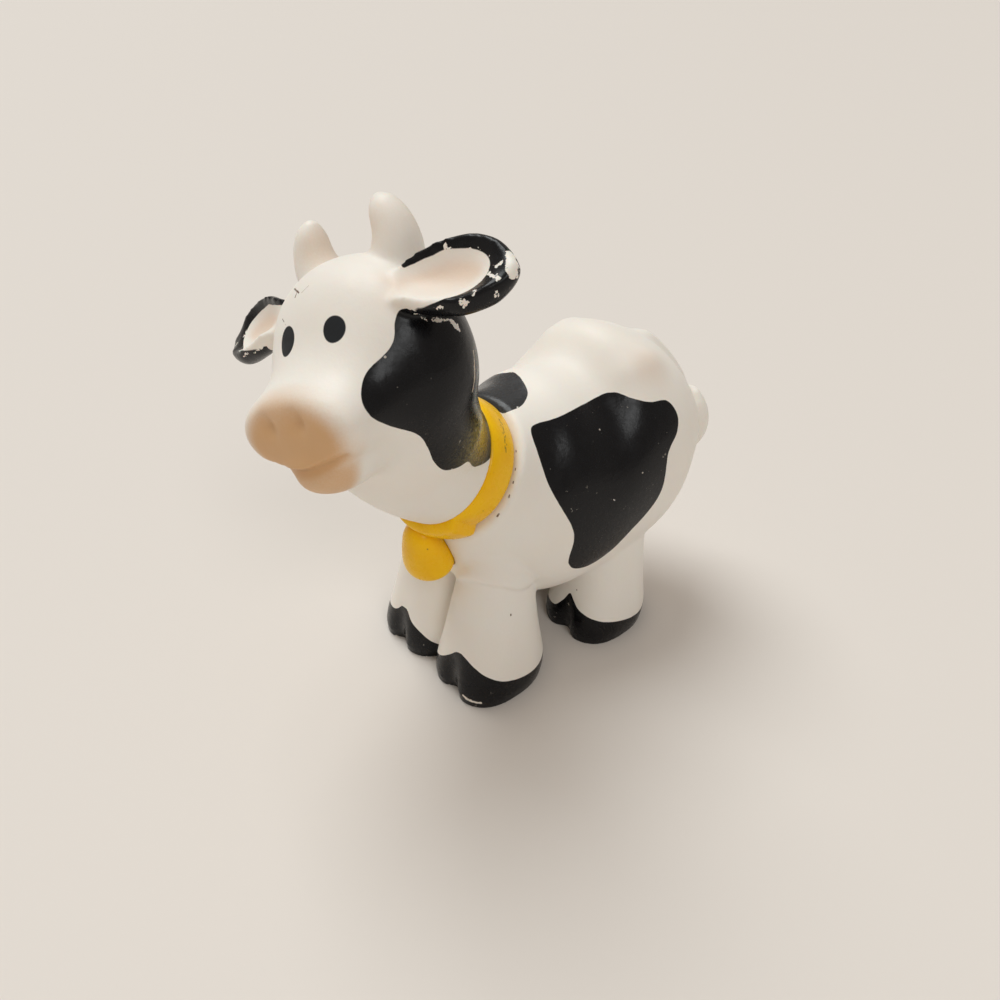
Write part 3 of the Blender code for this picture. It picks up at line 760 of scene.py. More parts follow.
    def mesh(self) -> Mesh:
        """The whole moulding as one skin, cut flat at the soles and at the seat."""
        bm = bmesh.new()
        self.trunk(bm)
        for side, sole, hip in self.legs():
            self.leg(bm, side, sole, hip)
        self.tail(bm)
        lift = self.clearance + self.udder_radius - self.udder_drop
        ball(bm, Matrix.Translation((0, self.udder_back, lift)), (self.udder_radius,) * 3)
        made = skin("body_shell", bm, self.grain, self.passes)
        rows = coordinates(made)
        put_coordinates(made, rows + sum(swell.moved(rows) for swell in self.swells))
        self.folded(made)
        flat_cut(made, Vector(), -Z_AXIS, self.sole_soften)
        flat_cut(made, self.seat.place.translation, self.seat.axis, self.rim_soften)
        rim = self.seat.radius + self.seat.bead
        rounded_edge(made, self.seat.place, rim, self.rim_round, 0.0, 1.0)
        return made

    def folded(self, mesh: Mesh) -> None:
        """Presses in the soft fold where the belly hangs over each front leg."""
        rows = coordinates(mesh)
        for side, sole, hip in self.legs():
            if sole.y > -self.front_forward / 2:
                continue
            x = (rows[:, 0] - hip.x) * side
            y = rows[:, 1] - hip.y
            out = np.hypot(x, y)
            angle = np.degrees(np.arctan2(x, -y))
            held = np.clip(angle, self.fold_angles[0], self.fold_angles[-1])
            gap = rows[:, 2] - through(self.fold_angles, self.fold_heights, held)
            span = step(angle, *self.fold_starts) * (1 - step(angle, *self.fold_ends))
            near = span * (out < self.fold_reach) * (np.sign(rows[:, 0]) == side)
            draw = self.fold_depth * fold(gap, self.fold_below, self.fold_above)
            over = (gap - self.fold_swell_rise) / self.fold_swell_size
            draw -= self.fold_swell * np.exp(-(over**2))
            pull = draw * near / np.maximum(out, TINY)
            rows[:, 0] -= side * x * pull
            rows[:, 1] -= y * pull
        put_coordinates(mesh, rows)


@dataclass
class HeadMoulding:
    """The head moulding: skull, muzzle, chin, horns, ears and neck."""

    seat: Seat
    skull_height: float = 0.02077
    skull_width: float = 0.02195
    skull_length: float = 0.01838
    muzzle_reach: float = 0.01228
    runs: Shares = (0.00, 0.03, 0.10, 0.22, 0.38, 0.52, 0.64, 0.74, 0.84, 0.92, 0.97, 1.00)
    widths: Shares = (0.05, 0.35, 0.66, 0.90, 1.00, 0.96, 0.82, 0.736, 0.700, 0.733, 0.688, 0.568)
    heights: Shares = (0.05, 0.35, 0.66, 0.90, 1.00, 0.95, 0.78, 0.563, 0.446, 0.399, 0.369, 0.269)
    rises: Shares = (0.0, 0.0, 0.0, 0.0, 0.0, -0.01, -0.03, -0.061, -0.080, -0.085, -0.080, -0.080)
    roundness: float = 2.1
    skull_steps: int = 90
    chin_forward: float = 0.00780
    chin_drop: float = 0.00538
    chin_width: float = 0.00943
    chin_length: float = 0.0110
    chin_height: float = 0.00704
    neck_broaden: float = 0.00240
    neck_broad_share: float = 0.60
    neck_steps: int = 20
    neck_sides: int = 72
    neck_stub: float = 0.0020
    neck_reach_share: float = 1.3
    throat_low: float = 0.00100
    horn_root_spread: float = 0.00962
    horn_root_rise: float = 0.0072
    horn_tip_rise: float = 0.01393
    horn_spread: float = 0.00915
    horn_back: float = 0.00476
    horn_width: float = 0.00528
    horn_bow: float = 0.00117
    horn_swells: Shares = (1.00, 0.98, 0.92, 0.82, 0.72, 0.58, 0.20)
    horn_steps: int = 28
    ear_span: float = 0.03984
    ear_width: float = 0.00755
    ear_thickness: float = 0.00427
    ear_dish: float = 0.0026
    ear_root: float = 0.0070
    ear_sunk: float = 0.0022
    ear_sink: float = 0.0018
    ear_sink_share: float = 0.32
    ear_back: float = -0.00080
    ear_low: float = 0.00708
    ear_forward: float = -0.00095
    ear_rise: float = 0.00493
    ear_pitch_deg: float = 53.2
    ear_bow: float = 0.00011
    ear_hollow_power: float = 0.6
    ear_rim_power: float = 0.8
    ear_bluntness: float = 6.0
    ear_runs: Shares = (0.0, 0.20, 0.42, 0.62, 0.80, 0.92, 1.0)
    ear_widths: Shares = (0.604, 0.733, 0.951, 1.0, 0.808, 0.476, 0.12)
    dish_share: float = 0.80
    dish_run: float = 0.96
    ear_tip: float = 0.02
    ear_pinch: float = 0.36
    ear_pinch_run: float = 0.5
    ear_steps: int = 60
    ear_sides: int = 72
    forward: float = 0.01249
    rise: float = 0.01726
    aside: float = 0.00115
    tilt_deg: float = 23.6
    nod_deg: float = 3.7
    turn_deg: float = 14.6
    nostril_radius: float = 0.00095
    nostril_depth: float = 0.0006
    nostril_spread: float = 0.0042
    nostril_lift: float = 0.0014
    mouth_low: float = 0.0048
    mouth_curl: float = 0.0010
    mouth_half: float = 0.0062
    mouth_ends: Span = (0.75, 1.05)
    mouth_fade: float = 0.0020
    mouth_depth: float = 0.0009
    mouth_below: float = 0.0015
    mouth_above: float = 0.0003
    shoulder_round: float = 0.0004
    collar_width: float = 0.0040
    collar_thickness: float = 0.0016
    fit: float = 0.0003
    shoulder_fit_share: float = 1.5
    score_gap: float = 0.00003
    bung_depth: float = 0.0050
    form_grain: float = 0.0005
    form_passes: int = 36
    grain: float = 0.00026
    passes: int = 16

    @property
    def place(self) -> Matrix:
        """The middle of the skull as a place, cocked as the head is."""
        start = self.seat.place.translation + Vector((self.aside, -self.forward, self.rise))
        return (
            Matrix.Translation(start)
            @ Matrix.Rotation(math.radians(self.turn_deg), 4, "Z")
            @ Matrix.Rotation(-math.radians(self.tilt_deg), 4, "Y")
            @ Matrix.Rotation(math.radians(self.nod_deg), 4, "X")
        )

    def skull(self, bm: BMesh) -> None:
        """Adds the skull and the muzzle as one loft, and the chin under it."""
        rings = []
        run = self.skull_length / 2 + self.muzzle_reach
        for share in np.linspace(0, 1, self.skull_steps):
            rise = self.skull_height * at(self.runs, self.rises, share)
            middle = Vector((0, self.skull_length / 2 - run * share, rise))
            half_wide = self.skull_width / 2 * at(self.runs, self.widths, share)
            half_high = self.skull_height / 2 * at(self.runs, self.heights, share)
            rings.append(ring(middle, X_AXIS, Z_AXIS, half_wide, half_high, self.roundness))
        loft(bm, rings)
        chin = Matrix.Translation((0, -self.chin_forward, -self.chin_drop))
        ball(bm, chin, (self.chin_width / 2, self.chin_length / 2, self.chin_height / 2))

    def neck(self, bm: BMesh) -> None:
        """Adds the neck, from inside the shoulders up into the skull."""
        seat = self.place.inverted() @ self.seat.place
        out = seat.col[2].to_3d()
        start = seat.translation + out * (self.collar_width + 2 * self.fit)
        end = Vector((0, 0, -self.throat_low))
        radius = self.seat.radius - self.fit
        points = [seat.translation - out * self.bung_depth, seat.translation, start]
        grown = [0.0, 0.0, 0.0]
        bend = start + out * (end - start).length / 2
        for share in np.linspace(0, 1, self.neck_steps + 1)[1:]:
            points.append(start.lerp(bend, share).lerp(bend.lerp(end, share), share))
            grown.append(min(share / self.neck_broad_share, 1.0))
        rings = []
        for i, point in enumerate(points):
            ahead = points[min(i + 1, len(points) - 1)] - points[max(i - 1, 0)]
            place = placed(point, X_AXIS, ahead)
            side = place.col[0].to_3d()
            rise = place.col[1].to_3d()
            wide = radius + self.neck_broaden * grown[i]
            rings.append(ring(point, side, rise, wide, radius, sides=self.neck_sides))
        loft(bm, rings)

    def horn(self, bm: BMesh, side: Side) -> None:
        """Adds one stubby horn, bowed outwards."""
        back = self.horn_back - self.horn_bow
        root = Vector((side * self.horn_root_spread / 2, back, self.horn_root_rise))
        tip = Vector((side * self.horn_spread / 2, self.horn_back, self.horn_tip_rise))
        points = []
        radii = []
        for share in np.linspace(0, 1, self.horn_steps):
            bow = Vector((side * self.horn_bow * math.sin(math.pi * share), 0, 0))
            points.append(root.lerp(tip, share) + bow)
            radii.append(self.horn_width / 2 * at(evenly(self.horn_swells), self.horn_swells, share))
        worm(bm, points, radii)

    def ear_frame(self, side: Side) -> Matrix:
        """An ear's place: X from its root to its tip, Y across it and Z out of its dish.

        Args:
            side: Its side.

        Returns:
            The place, in the head's frame, with its origin at the ear's root.
        """
        root = Vector((side * self.ear_root, self.ear_back, self.ear_low))
        tip = Vector((side * self.ear_span / 2, -self.ear_forward, self.ear_rise))
        along = (tip - root).normalized()
        pitch = math.radians(self.ear_pitch_deg)
        front = Vector((0, -math.cos(pitch), math.sin(pitch)))
        front = (front - along * front.dot(along)).normalized()
        up = front.cross(along)
        if up.z < 0:
            up = -up
        return Matrix.Translation(root) @ Matrix((along, up, front)).transposed().to_4x4()

    @property
    def ear_length(self) -> float:
        """How far an ear's tip is from its root."""
        aside = self.ear_span / 2 - self.ear_root
        return Vector((aside, self.ear_forward + self.ear_back, self.ear_rise - self.ear_low)).length

    def ear(self, bm: BMesh, side: Side) -> None:
        """Adds one ear: a thick leaf with a dish in its front."""
        place = self.ear_frame(side)
        rings = []
        for share in np.linspace(0, 1, self.ear_steps):
            wide = self.ear_width / 2 * at(self.ear_runs, self.ear_widths, share)
            blunt = math.sqrt(max(self.ear_tip, (1 - share) * self.ear_bluntness))
            thick = self.ear_thickness / 2 * min(1.0, blunt)
            hollow = math.sin(math.pi * min(1.0, share / self.dish_run)) ** self.ear_hollow_power
            bow = self.ear_bow * math.sin(math.pi * share)
            sink = self.ear_sink * max(0.0, 1 - share / self.ear_sink_share) ** 2
            pinch = self.ear_pinch * max(0.0, 1 - share / self.ear_pinch_run)
            points = []
            for i in range(self.ear_sides):
                turn = 2 * math.pi * i / self.ear_sides
                across = math.cos(turn)
                deep = math.sin(turn)
                out = thick * deep
                if deep > 0:
                    dip = max(0.0, 1 - (across / self.dish_share) ** 2) ** self.ear_rim_power
                    out -= self.ear_dish * hollow * dip
                aside = bow + across * wide * (1 - pinch * max(across, 0.0))
                points.append(place @ Vector((self.ear_length * share, aside, out - sink)))
            rings.append(points)
        along = place.col[0].to_3d()
        loft(bm, [[point - along * self.ear_sunk for point in rings[0]]] + rings)

    def mesh(self) -> Mesh:
        """The whole moulding as one skin in the toy's own frame."""
        bm = bmesh.new()
        self.skull(bm)
        self.neck(bm)
        form = skin("head_form", bm, self.form_grain, self.form_passes)
        bm = bmesh.new()
        bm.from_mesh(form)
        bpy.data.meshes.remove(form)
        for side in Side:
            self.horn(bm, side)
            self.ear(bm, side)
        made = skin("head_shell", bm, self.grain, self.passes)
        self.press_face(made)
        made.transform(self.place)
        self.necked(made)
        return made

    def press_face(self, mesh: Mesh) -> None:
        """Presses in the nostrils and the line of the mouth."""
        rows = coordinates(mesh)
        face = -self.skull_length / 2
        middle = self.skull_height * self.rises[-1] + self.nostril_lift
        for side in Side:
            off = np.hypot(rows[:, 0] - side * self.nostril_spread / 2, rows[:, 2] - middle)
            dent = self.nostril_depth * np.exp(-((off / self.nostril_radius) ** 2))
            rows[:, 1] += np.where(rows[:, 1] < face, dent, 0.0)
        aside = rows[:, 0] / self.mouth_half
        gap = rows[:, 2] + self.mouth_low - self.mouth_curl * aside**2
        wide = 1 - step(np.abs(aside), *self.mouth_ends)
        wide *= step(-rows[:, 1], -face - self.mouth_fade, -face)
        rows[:, 1] += self.mouth_depth * wide * fold(gap, self.mouth_below, self.mouth_above)
        put_coordinates(mesh, rows)

    def necked(self, mesh: Mesh) -> None:
        """Draws the neck in where it passes through the collar, and cuts it off in the shoulders."""
        middle = self.seat.place.translation
        flat_cut(mesh, middle - self.seat.axis * self.neck_stub, -self.seat.axis, 0.0)
        top = self.collar_width + self.shoulder_fit_share * self.fit
        scored(mesh, middle + self.seat.axis * top, self.seat.axis, self.score_gap)
        seen = local(coordinates(mesh), self.seat.place)
        radius = np.hypot(seen[:, 0], seen[:, 1])
        limit = self.seat.radius - self.collar_thickness - self.fit
        near = seen[:, 2] < top + self.score_gap / 2
        near &= radius < self.seat.radius * self.neck_reach_share
        keep = np.where(near & (radius > limit), limit / np.maximum(radius, TINY), 1.0)
        seen[:, :2] *= keep[:, None]
        put_coordinates(mesh, moved_by(seen, self.seat.place))
        rounded_edge(mesh, self.seat.place, self.seat.radius - self.fit, self.shoulder_round, top, -1.0)
        faced(mesh)


# The paint


@dataclass(frozen=True)
class Spot:
    """An oval of paint in a flat chart.

    Args:
        centre: Its middle, in the chart's units.
        radii: Half its size along each axis of its own.
        lean_deg: How far it is turned, anticlockwise.
    """

    centre: tuple[float, float]
    radii: tuple[float, float]
    lean_deg: float = 0.0

    def distance(self, xy: Rows) -> Rows:
        """The signed distance of each row of xy to the oval's edge, about, positive inside."""
        turn = math.radians(self.lean_deg)
        off = xy - np.array(self.centre)
        along = off[:, 0] * math.cos(turn) + off[:, 1] * math.sin(turn)
        across = off[:, 1] * math.cos(turn) - off[:, 0] * math.sin(turn)
        reach = np.hypot(along / self.radii[0], across / self.radii[1])
        return (1 - reach) * min(self.radii)


DARK_MARK: Colour = (0.12, 0.06, 0.03, 1.0)
FAINT_MARK: Colour = (0.50, 0.42, 0.33, 1.0)
PALE_MARK: Colour = (0.60, 0.58, 0.55, 1.0)
SCRAPED: Colour = (0.80, 0.74, 0.66, 1.0)


@dataclass(frozen=True)
class Mark:
    """A hairline scratch, a chip or a speck between two points.

    It is drawn in millimetres in the frame of its moulding, and a finish takes it in metres in the
    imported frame.
    """

    start: Place
    end: Place
    width: float
    colour: Colour

    def placed(self, place: Matrix) -> "Mark":
        """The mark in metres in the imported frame."""
        ends = [tuple(place @ (Vector(end) * MM)) for end in (self.start, self.end)]
        return Mark(*ends, self.width * MM, self.colour)


def all_placed(marks: Sequence[Mark], place: Matrix) -> tuple[Mark, ...]:
    """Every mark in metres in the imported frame."""
    return tuple(mark.placed(place) for mark in marks)


def most(rows: Sequence[Rows]) -> Rows:
    """The highest of several values at each vertex."""
    return np.maximum.reduce(list(rows))


def give(mesh: Mesh, layer: Layer, values: Rows) -> None:
    """Stores one layer of paint at the vertices of a mesh."""
    made = mesh.attributes.new(layer.value, "FLOAT", "POINT")
    made.data.foreach_set("value", np.asarray(values, np.float32))


@dataclass(frozen=True)
class BodyPaint:
    """The patches, the hooves and the marks of wear on the body.

    The patches are drawn in the barrel chart: millimetres along Y, and millimetres round the barrel
    from the top of the back towards the left side. Hoof borders are heights in millimetres for the
    angle in degrees from the front of the hoof towards its outer side, for the right front, right
    rear, left front and left rear hoof.
    """

    barrel_height: float = 24.0
    barrel_radius: float = 14.0
    patches: tuple[Outline, ...] = (
        Outline((
            (-14.36, 6.64), (-13.02, 5.88), (-9.03, 6.6), (-3.38, 6.26), (-1.47, 6.92),
            (-0.3, 8.47), (1.59, 9.87), (4.23, 10.57), (5.26, 12.51), (4.5, 14.35),
            (2.58, 16.4), (1.95, 20.91), (0.35, 23.45), (-2.52, 26.01), (-4.76, 28.3),
            (-7.52, 29.7), (-10.21, 29.76), (-11.67, 28.78), (-12.18, 27.05), (-11.92, 23.78),
            (-12.27, 21.4), (-13.58, 17.42), (-14.44, 13.26), (-14.68, 9.38),
        )),
        Outline((
            (3, -13), (8, -12), (12.5, -13.5), (15, -18), (13.8, -23),
            (10, -26), (5, -25.5), (2, -21), (1.2, -16.5),
        )),
    )
    faded: tuple[Outline, ...] = (
        Outline((
            (-15.4, 2.2), (-13.6, 3), (-11.35, 2.1), (-10.1, 0.4), (-8.8, -2.9),
            (-9, -4.6), (-8.6, -8), (-7.2, -12), (-8, -17), (-11, -20),
            (-14.2, -18.5), (-15.3, -13), (-15.8, -7), (-15.6, -2),
        )),
    )
    hoof_angles: Shares = (-180, -120, -90, -52, -30, -18, -8, 0, 8, 14, 28, 46, 66, 92, 120, 180)
    hoof_heights: tuple[Shares, ...] = (
        (2.4, 2.4, 2.4, 2.6, 4.5, 5.5, 6.8, 6.7, 5.7, 5.2, 4.8, 4.5, 4.0, 3.4, 3.0, 2.6),
        (2.4, 2.5, 2.7, 3.0, 3.3, 3.6, 5.3, 7.0, 6.1, 5.5, 4.8, 4.2, 3.6, 2.8, 2.3, 2.3),
        (2.4, 2.4, 2.4, 2.5, 3.8, 4.9, 6.1, 7.1, 7.4, 7.2, 6.3, 5.0, 3.9, 3.1, 2.65, 2.4),
        (2.4, 2.5, 2.7, 3.0, 3.3, 3.6, 5.3, 7.0, 6.1, 5.5, 4.8, 4.2, 3.6, 2.8, 2.3, 2.3),
    )
    hoof_reach: float = 0.0115
    faded_run: Span = (-0.6, 0.2)
    worn_rim: float = 0.5
    worn_rim_strength: float = 0.46
    worn_sole_run: Span = (-0.5, 0.1)
    worn_sole_strength: float = 0.42
    blush_at: Place = (7.9, 3.8, 39.7)
    blush_size: float = 2.6
    udder_tint: float = 0.5
    udder_run: Span = (-5.0, -3.0)
    marks: tuple[Mark, ...] = (
        Mark((10.65, 1.1, 36.92), (11.1, 1.65, 36.38), 0.10, PALE_MARK),
        Mark((10.95, 1.5, 36.55), (11.15, 1.35, 36.5), 0.09, PALE_MARK),
        Mark((6.2, -4.3, 37.2), (6.9, -4.0, 36.8), 0.06, PALE_MARK),
        Mark((13.1, -6.4, 26.6), (13.2, -6.25, 26.45), 0.12, PALE_MARK),
        Mark((10.38, -20.42, 13.8), (10.38, -20.40, 13.65), 0.16, DARK_MARK),
        Mark((8.5, -5.8, 8.1), (8.5, -5.8, 8.0), 0.16, DARK_MARK),
        Mark((6.3, -16.95, 34.65), (6.45, -17.0, 34.5), 0.12, DARK_MARK),
        Mark((7.45, -17.95, 33.1), (7.5, -18.05, 32.95), 0.14, DARK_MARK),
        Mark((8.0, -18.7, 31.9), (8.05, -18.8, 31.75), 0.14, DARK_MARK),
        Mark((8.4, -26.6, 1.5), (8.9, -26.5, 1.28), 0.28, SCRAPED),
        Mark((8.9, -26.5, 1.28), (9.6, -26.2, 1.13), 0.34, SCRAPED),
        Mark((9.6, -26.2, 1.13), (10.6, -25.4, 1.15), 0.28, SCRAPED),
        Mark((8.35, -19.6, 30.6), (8.4, -19.75, 30.35), 0.16, DARK_MARK),
        Mark((8.2, -21.0, 28.5), (8.1, -21.2, 28.2), 0.20, DARK_MARK),
    )

    def chart(self, rows: Rows) -> Rows:
        """The barrel chart of the vertices, in millimetres."""
        turn = np.arctan2(rows[:, 0], rows[:, 2] - self.barrel_height * MM)
        return np.stack([rows[:, 1] / MM, turn * self.barrel_radius], 1)

    def hooves(self, rows: Rows, body: BodyMoulding) -> Rows:
        """The signed distance to the border of the nearest hoof, in millimetres.

        Args:
            rows: The vertices.
            body: The moulding, for where its soles stand.

        Returns:
            One value for each vertex, positive inside the black.
        """
        best = np.full(len(rows), NO_PAINT)
        for number, (side, sole, _) in enumerate(body.legs()):
            x = (rows[:, 0] - sole.x) * side
            y = rows[:, 1] - sole.y
            angle = np.degrees(np.arctan2(x, -y))
            border = through(self.hoof_angles, self.hoof_heights[number], angle)
            inside = border - rows[:, 2] / MM
            near = np.hypot(x, y) < self.hoof_reach
            near &= np.sign(rows[:, 0]) == side
            best = np.where(near, np.maximum(best, inside), best)
        return best

    def lay(self, mesh: Mesh, body: BodyMoulding) -> None:
        """Works out every layer of the body's paint.

        Args:
            mesh: The body's skin, in the part's own frame.
            body: The moulding.
        """
        rows = coordinates(mesh)
        chart = self.chart(rows)
        solid = most([patch.distance(chart) for patch in self.patches])
        faded = most([patch.distance(chart) for patch in self.faded])
        hooves = self.hooves(rows, body)
        give(mesh, Layer.BLACK, most([solid, faded, hooves]))
        give(mesh, Layer.EYE, np.full(len(rows), NO_PAINT))
        give(mesh, Layer.YELLOW, np.zeros(len(rows)))
        give(mesh, Layer.FADED, step(faded, *self.faded_run))
        worn = self.worn_rim_strength * step(-np.abs(faded), -self.worn_rim, 0.0)
        soles = self.worn_sole_strength * step(-rows[:, 2] / MM, *self.worn_sole_run)
        give(mesh, Layer.WEAR, most([worn, soles]))
        # On the body this layer carries only the pink tint on the hip.
        give(mesh, Layer.PINK_AND_SHADE, glow(rows, self.blush_at, self.blush_size))
        udder = np.linalg.norm(rows - np.array((0, body.udder_back, body.clearance)), axis=1) / MM
        give(mesh, Layer.TAN, self.udder_tint * step(-udder, *self.udder_run))


@dataclass(frozen=True)
class HeadPaint:
    """The patch, muzzle, eyes, ears, overspray and ear-dish painted shade of the head, in the head's own
    frame.

    The patch is drawn in the cheek chart: millimetres round the skull from the face towards the
    left, and millimetres up. The ears are drawn along and across their own leaves.
    """

    skull_radius: float = 11.0
    patches: tuple[Outline, ...] = (
        Outline((
            (14.2, 4.7), (13.4, 4), (12.5, 2.8), (11.1, 2.1), (8.9, 1.45),
            (7.85, 0.4), (7.65, -0.95), (8.15, -2.6), (9.4, -4.3), (11.3, -6),
            (12.2, -8), (12.9, -9.9), (14.8, -11.4), (18.5, -12.1), (21.5, -12.3),
            (24.5, -13.5), (27, -14.2), (30, -14.8), (33, -14.6), (34.3, -12.5),
            (33, -9.5), (29, -7.5), (25.5, -5), (24.6, -1.5), (25.2, 2),
            (22.5, 5.6), (19.5, 6.5), (17, 6.4), (15.2, 5.5),
        )),
    )
    eyes: tuple[Spot, ...] = (
        Spot((3.99, 5.29), (1.24, 0.93), -28.0),
        Spot((-2.3, 5.33), (1.2, 1.14), 8.0),
    )
    marks: tuple[Mark, ...] = (
        Mark((-2.79, -2.19, 9.05), (-1.35, -3.1, 8.72), 0.15, DARK_MARK),
        Mark((-1.85, -3.3, 8.45), (-1.75, -2.85, 8.8), 0.13, DARK_MARK),
        Mark((-0.80, -3.2, 8.66), (-0.01, -2.79, 9.0), 0.09, FAINT_MARK),
        Mark((-3.8, -4.2, 7.05), (-3.3, -4.55, 6.8), 0.09, DARK_MARK),
        Mark((-3.2, -4.6, 6.75), (-2.9, -4.85, 6.58), 0.07, FAINT_MARK),
        Mark((10.2, 3.3, -1.5), (10.2, 2.75, -2.7), 0.2, FAINT_MARK),
        Mark((10.2, 2.75, -2.7), (9.95, 2.35, -3.8), 0.2, FAINT_MARK),
        Mark((9.95, 2.35, -3.8), (9.6, 1.8, -4.8), 0.16, FAINT_MARK),
    )
    muzzle: Spot = Spot((0.2, -2.0), (6.4, 4.3))
    muzzle_fade: float = 1.5
    chin: Spot = Spot((0.4, -6.2), (4.8, 2.6))
    dish: Outline = Outline((
        (-1.5, 1.35), (1, 1.15), (2.6, 1.35), (4.2, 1.85), (6, 2.4),
        (8.3, 2.3), (9.9, 1.6), (10.6, 0.6), (10.5, -0.6), (9.4, -1.8),
        (7.6, -2.85), (5.6, -3.2), (3.6, -3.1), (1, -3), (-1.5, -2.8),
    ))
    overspray_at: Place = (5.7, 5.3, -10.3)
    overspray_size: float = 3.1
    black_reach: float = 11.7
    ear_depth: float = 4.5
    ear_breadth_share: float = 0.75
    horn_clear_share: float = 0.84
    tip_wear: float = 0.8
    tip_run: Span = (-0.7, 0.3)
    rim_wear: float = 0.34
    rim_width: float = 0.5
    rim_run_shares: Span = (0.3, 0.6)
    fore_run: Span = (8.5, 10.5)
    muzzle_paler: float = 0.3
    muzzle_paler_run: Span = (-2.5, 2.0)
    chin_strength: float = 0.75
    chin_run: Span = (-1.6, 1.2)
    horn_tint: float = 0.35
    horn_tint_rise: float = 0.0032
    horn_tint_run: Span = (-4.2, -2.2)
    # The painted shade in the hollows of the ear dishes, darker deeper in and in their upper halves.
    deep_run: Span = (-1.1, 0.2)
    deep_edge_run: Span = (0.0, 1.5)
    deep_least: float = 0.8
    deep_more: float = 1.2
    deep_upper_run: Span = (-1.4, 0.4)
    deep_reach: float = 2.5
    chips: tuple[Mark, ...] = (
        Mark((13.0, 1.75, 8.3), (13.2, 1.6, 7.8), 0.20, PALE_MARK),
        Mark((15.0, 1.75, 7.5), (15.3, 1.7, 7.1), 0.16, PALE_MARK),
        Mark((15.9, 1.6, 7.0), (16.3, 1.4, 6.75), 0.16, PALE_MARK),
        Mark((18.5, 0.6, 5.9), (18.45, 0.5, 5.8), 0.24, PALE_MARK),
        Mark((17.7, -0.1, 5.5), (18.2, -0.3, 5.3), 0.25, PALE_MARK),
        Mark((18.6, -0.4, 5.2), (18.75, -0.6, 5.0), 0.24, PALE_MARK),
        Mark((17.1, -2.0, 4.65), (17.2, -1.9, 4.7), 0.22, PALE_MARK),
        Mark((16.0, -2.45, 4.25), (16.4, -2.45, 4.2), 0.18, PALE_MARK),
        Mark((13.8, -2.95, 4.35), (14.2, -2.95, 4.35), 0.18, PALE_MARK),
        Mark((18.5, -0.95, 4.0), (18.6, -0.9, 3.7), 0.22, PALE_MARK),
        Mark((19.45, 1.4, 6.3), (19.85, 0.1, 5.0), 0.52, PALE_MARK),
        Mark((10.3, -1.8, 4.1), (10.2, -1.05, 3.7), 0.17, PALE_MARK),
        Mark((10.2, -1.05, 3.7), (10.5, -0.1, 2.9), 0.19, PALE_MARK),
        Mark((10.5, -0.1, 2.9), (10.7, 1.2, 2.3), 0.21, PALE_MARK),
        Mark((10.7, 1.6, 2.1), (10.65, 2.0, 1.3), 0.32, PALE_MARK),
        Mark((-16.4, -1.7, 4.8), (-15.4, -2.3, 4.6), 0.13, PALE_MARK),
        Mark((-14.4, -2.9, 4.35), (-13.4, -3.0, 4.45), 0.13, PALE_MARK),
        Mark((-12.4, -2.95, 4.4), (-11.6, -2.9, 4.6), 0.12, PALE_MARK),
        Mark((-18.7, -0.5, 5.2), (-18.5, -0.4, 5.2), 0.18, PALE_MARK),
    )

    def cheek(self, seen: Rows) -> Rows:
        """The cheek chart of vertices seen from the head's frame, in millimetres."""
        turn = np.arctan2(seen[:, 0], -seen[:, 1])
        return np.stack([turn * self.skull_radius, seen[:, 2] / MM], 1)

    def ears(
        self, seen: Rows, facing: Rows, head: HeadMoulding
    ) -> tuple[Rows, Rows, Rows]:
        """The black of both ears, and where it is worn.

        Args:
            seen: The vertices from the head's frame.
            facing: Their normals in the same frame.
            head: The moulding, for the places of its ears.

        Returns:
            The signed distance to the black's edge in millimetres, the wear from 0 to 1, and which
            vertices are on an ear beyond its root.
        """
        black = np.full(len(seen), NO_PAINT)
        worn = np.zeros(len(seen))
        beyond = np.zeros(len(seen), bool)
        length = head.ear_length / MM
        root = np.linalg.norm(seen, axis=1) / MM - self.black_reach
        for side in Side:
            place = head.ear_frame(side)
            leaf = local(seen, place) / MM
            out = facing @ np.array(place.to_3x3())[:, 2]
            on_ear = (leaf[:, 0] > 1.0) & (np.sign(seen[:, 0]) == side)
            on_ear &= np.abs(leaf[:, 2]) < self.ear_depth
            on_ear &= np.abs(leaf[:, 1]) < head.ear_width / MM * self.ear_breadth_share
            horn = np.hypot(seen[:, 0] - side * head.horn_spread / 2, seen[:, 1] - head.horn_back)
            clear = horn > head.horn_width * self.horn_clear_share
            on_ear &= clear | (seen[:, 2] < head.horn_root_rise)
            beyond |= on_ear & (root > 0)
            pale = np.where(out > 0.0, self.dish.distance(leaf[:, :2]), -2.0)
            edge = np.minimum(root, -pale)
            black = np.where(on_ear, np.maximum(black, edge), black)
            tip = self.tip_wear * step(leaf[:, 0] - length, *self.tip_run)
            rim = self.rim_wear * np.exp(-((edge / self.rim_width) ** 2))
            rim *= step(leaf[:, 0] / length, *self.rim_run_shares)
            worn = np.where(on_ear, most([worn, tip, rim]), worn)
        return black, worn, beyond

    def lay(self, mesh: Mesh, head: HeadMoulding) -> None:
        """Works out every layer of the head's paint.

        Args:
            mesh: The head's skin, in the part's own frame.
            head: The moulding.
        """
        rows = coordinates(mesh)
        seen = local(rows, head.place)
        facing = vertex_rows(mesh, "normal") @ np.array(head.place.to_3x3())
        cheek = self.cheek(seen)
        patch = most([outline.distance(cheek) for outline in self.patches])
        black, worn, beyond = self.ears(seen, facing, head)
        give(mesh, Layer.BLACK, np.where(beyond, black, most([patch, black])))
        give(mesh, Layer.WEAR, worn)
        give(mesh, Layer.FADED, np.zeros(len(seen)))
        front = seen[:, 1] < 0
        eyes = most([eye.distance(seen[:, [0, 2]] / MM) for eye in self.eyes])
        give(mesh, Layer.EYE, np.where(front, eyes, NO_PAINT))
        give(mesh, Layer.TAN, most([self.muzzle_tint(seen), self.horn_tints(seen, head)]))
        give(mesh, Layer.YELLOW, glow(seen, self.overspray_at, self.overspray_size))
        # Painted shade in the hollows of the ear dishes.
        give(mesh, Layer.PINK_AND_SHADE, self.ear_dish_shade(seen, head))

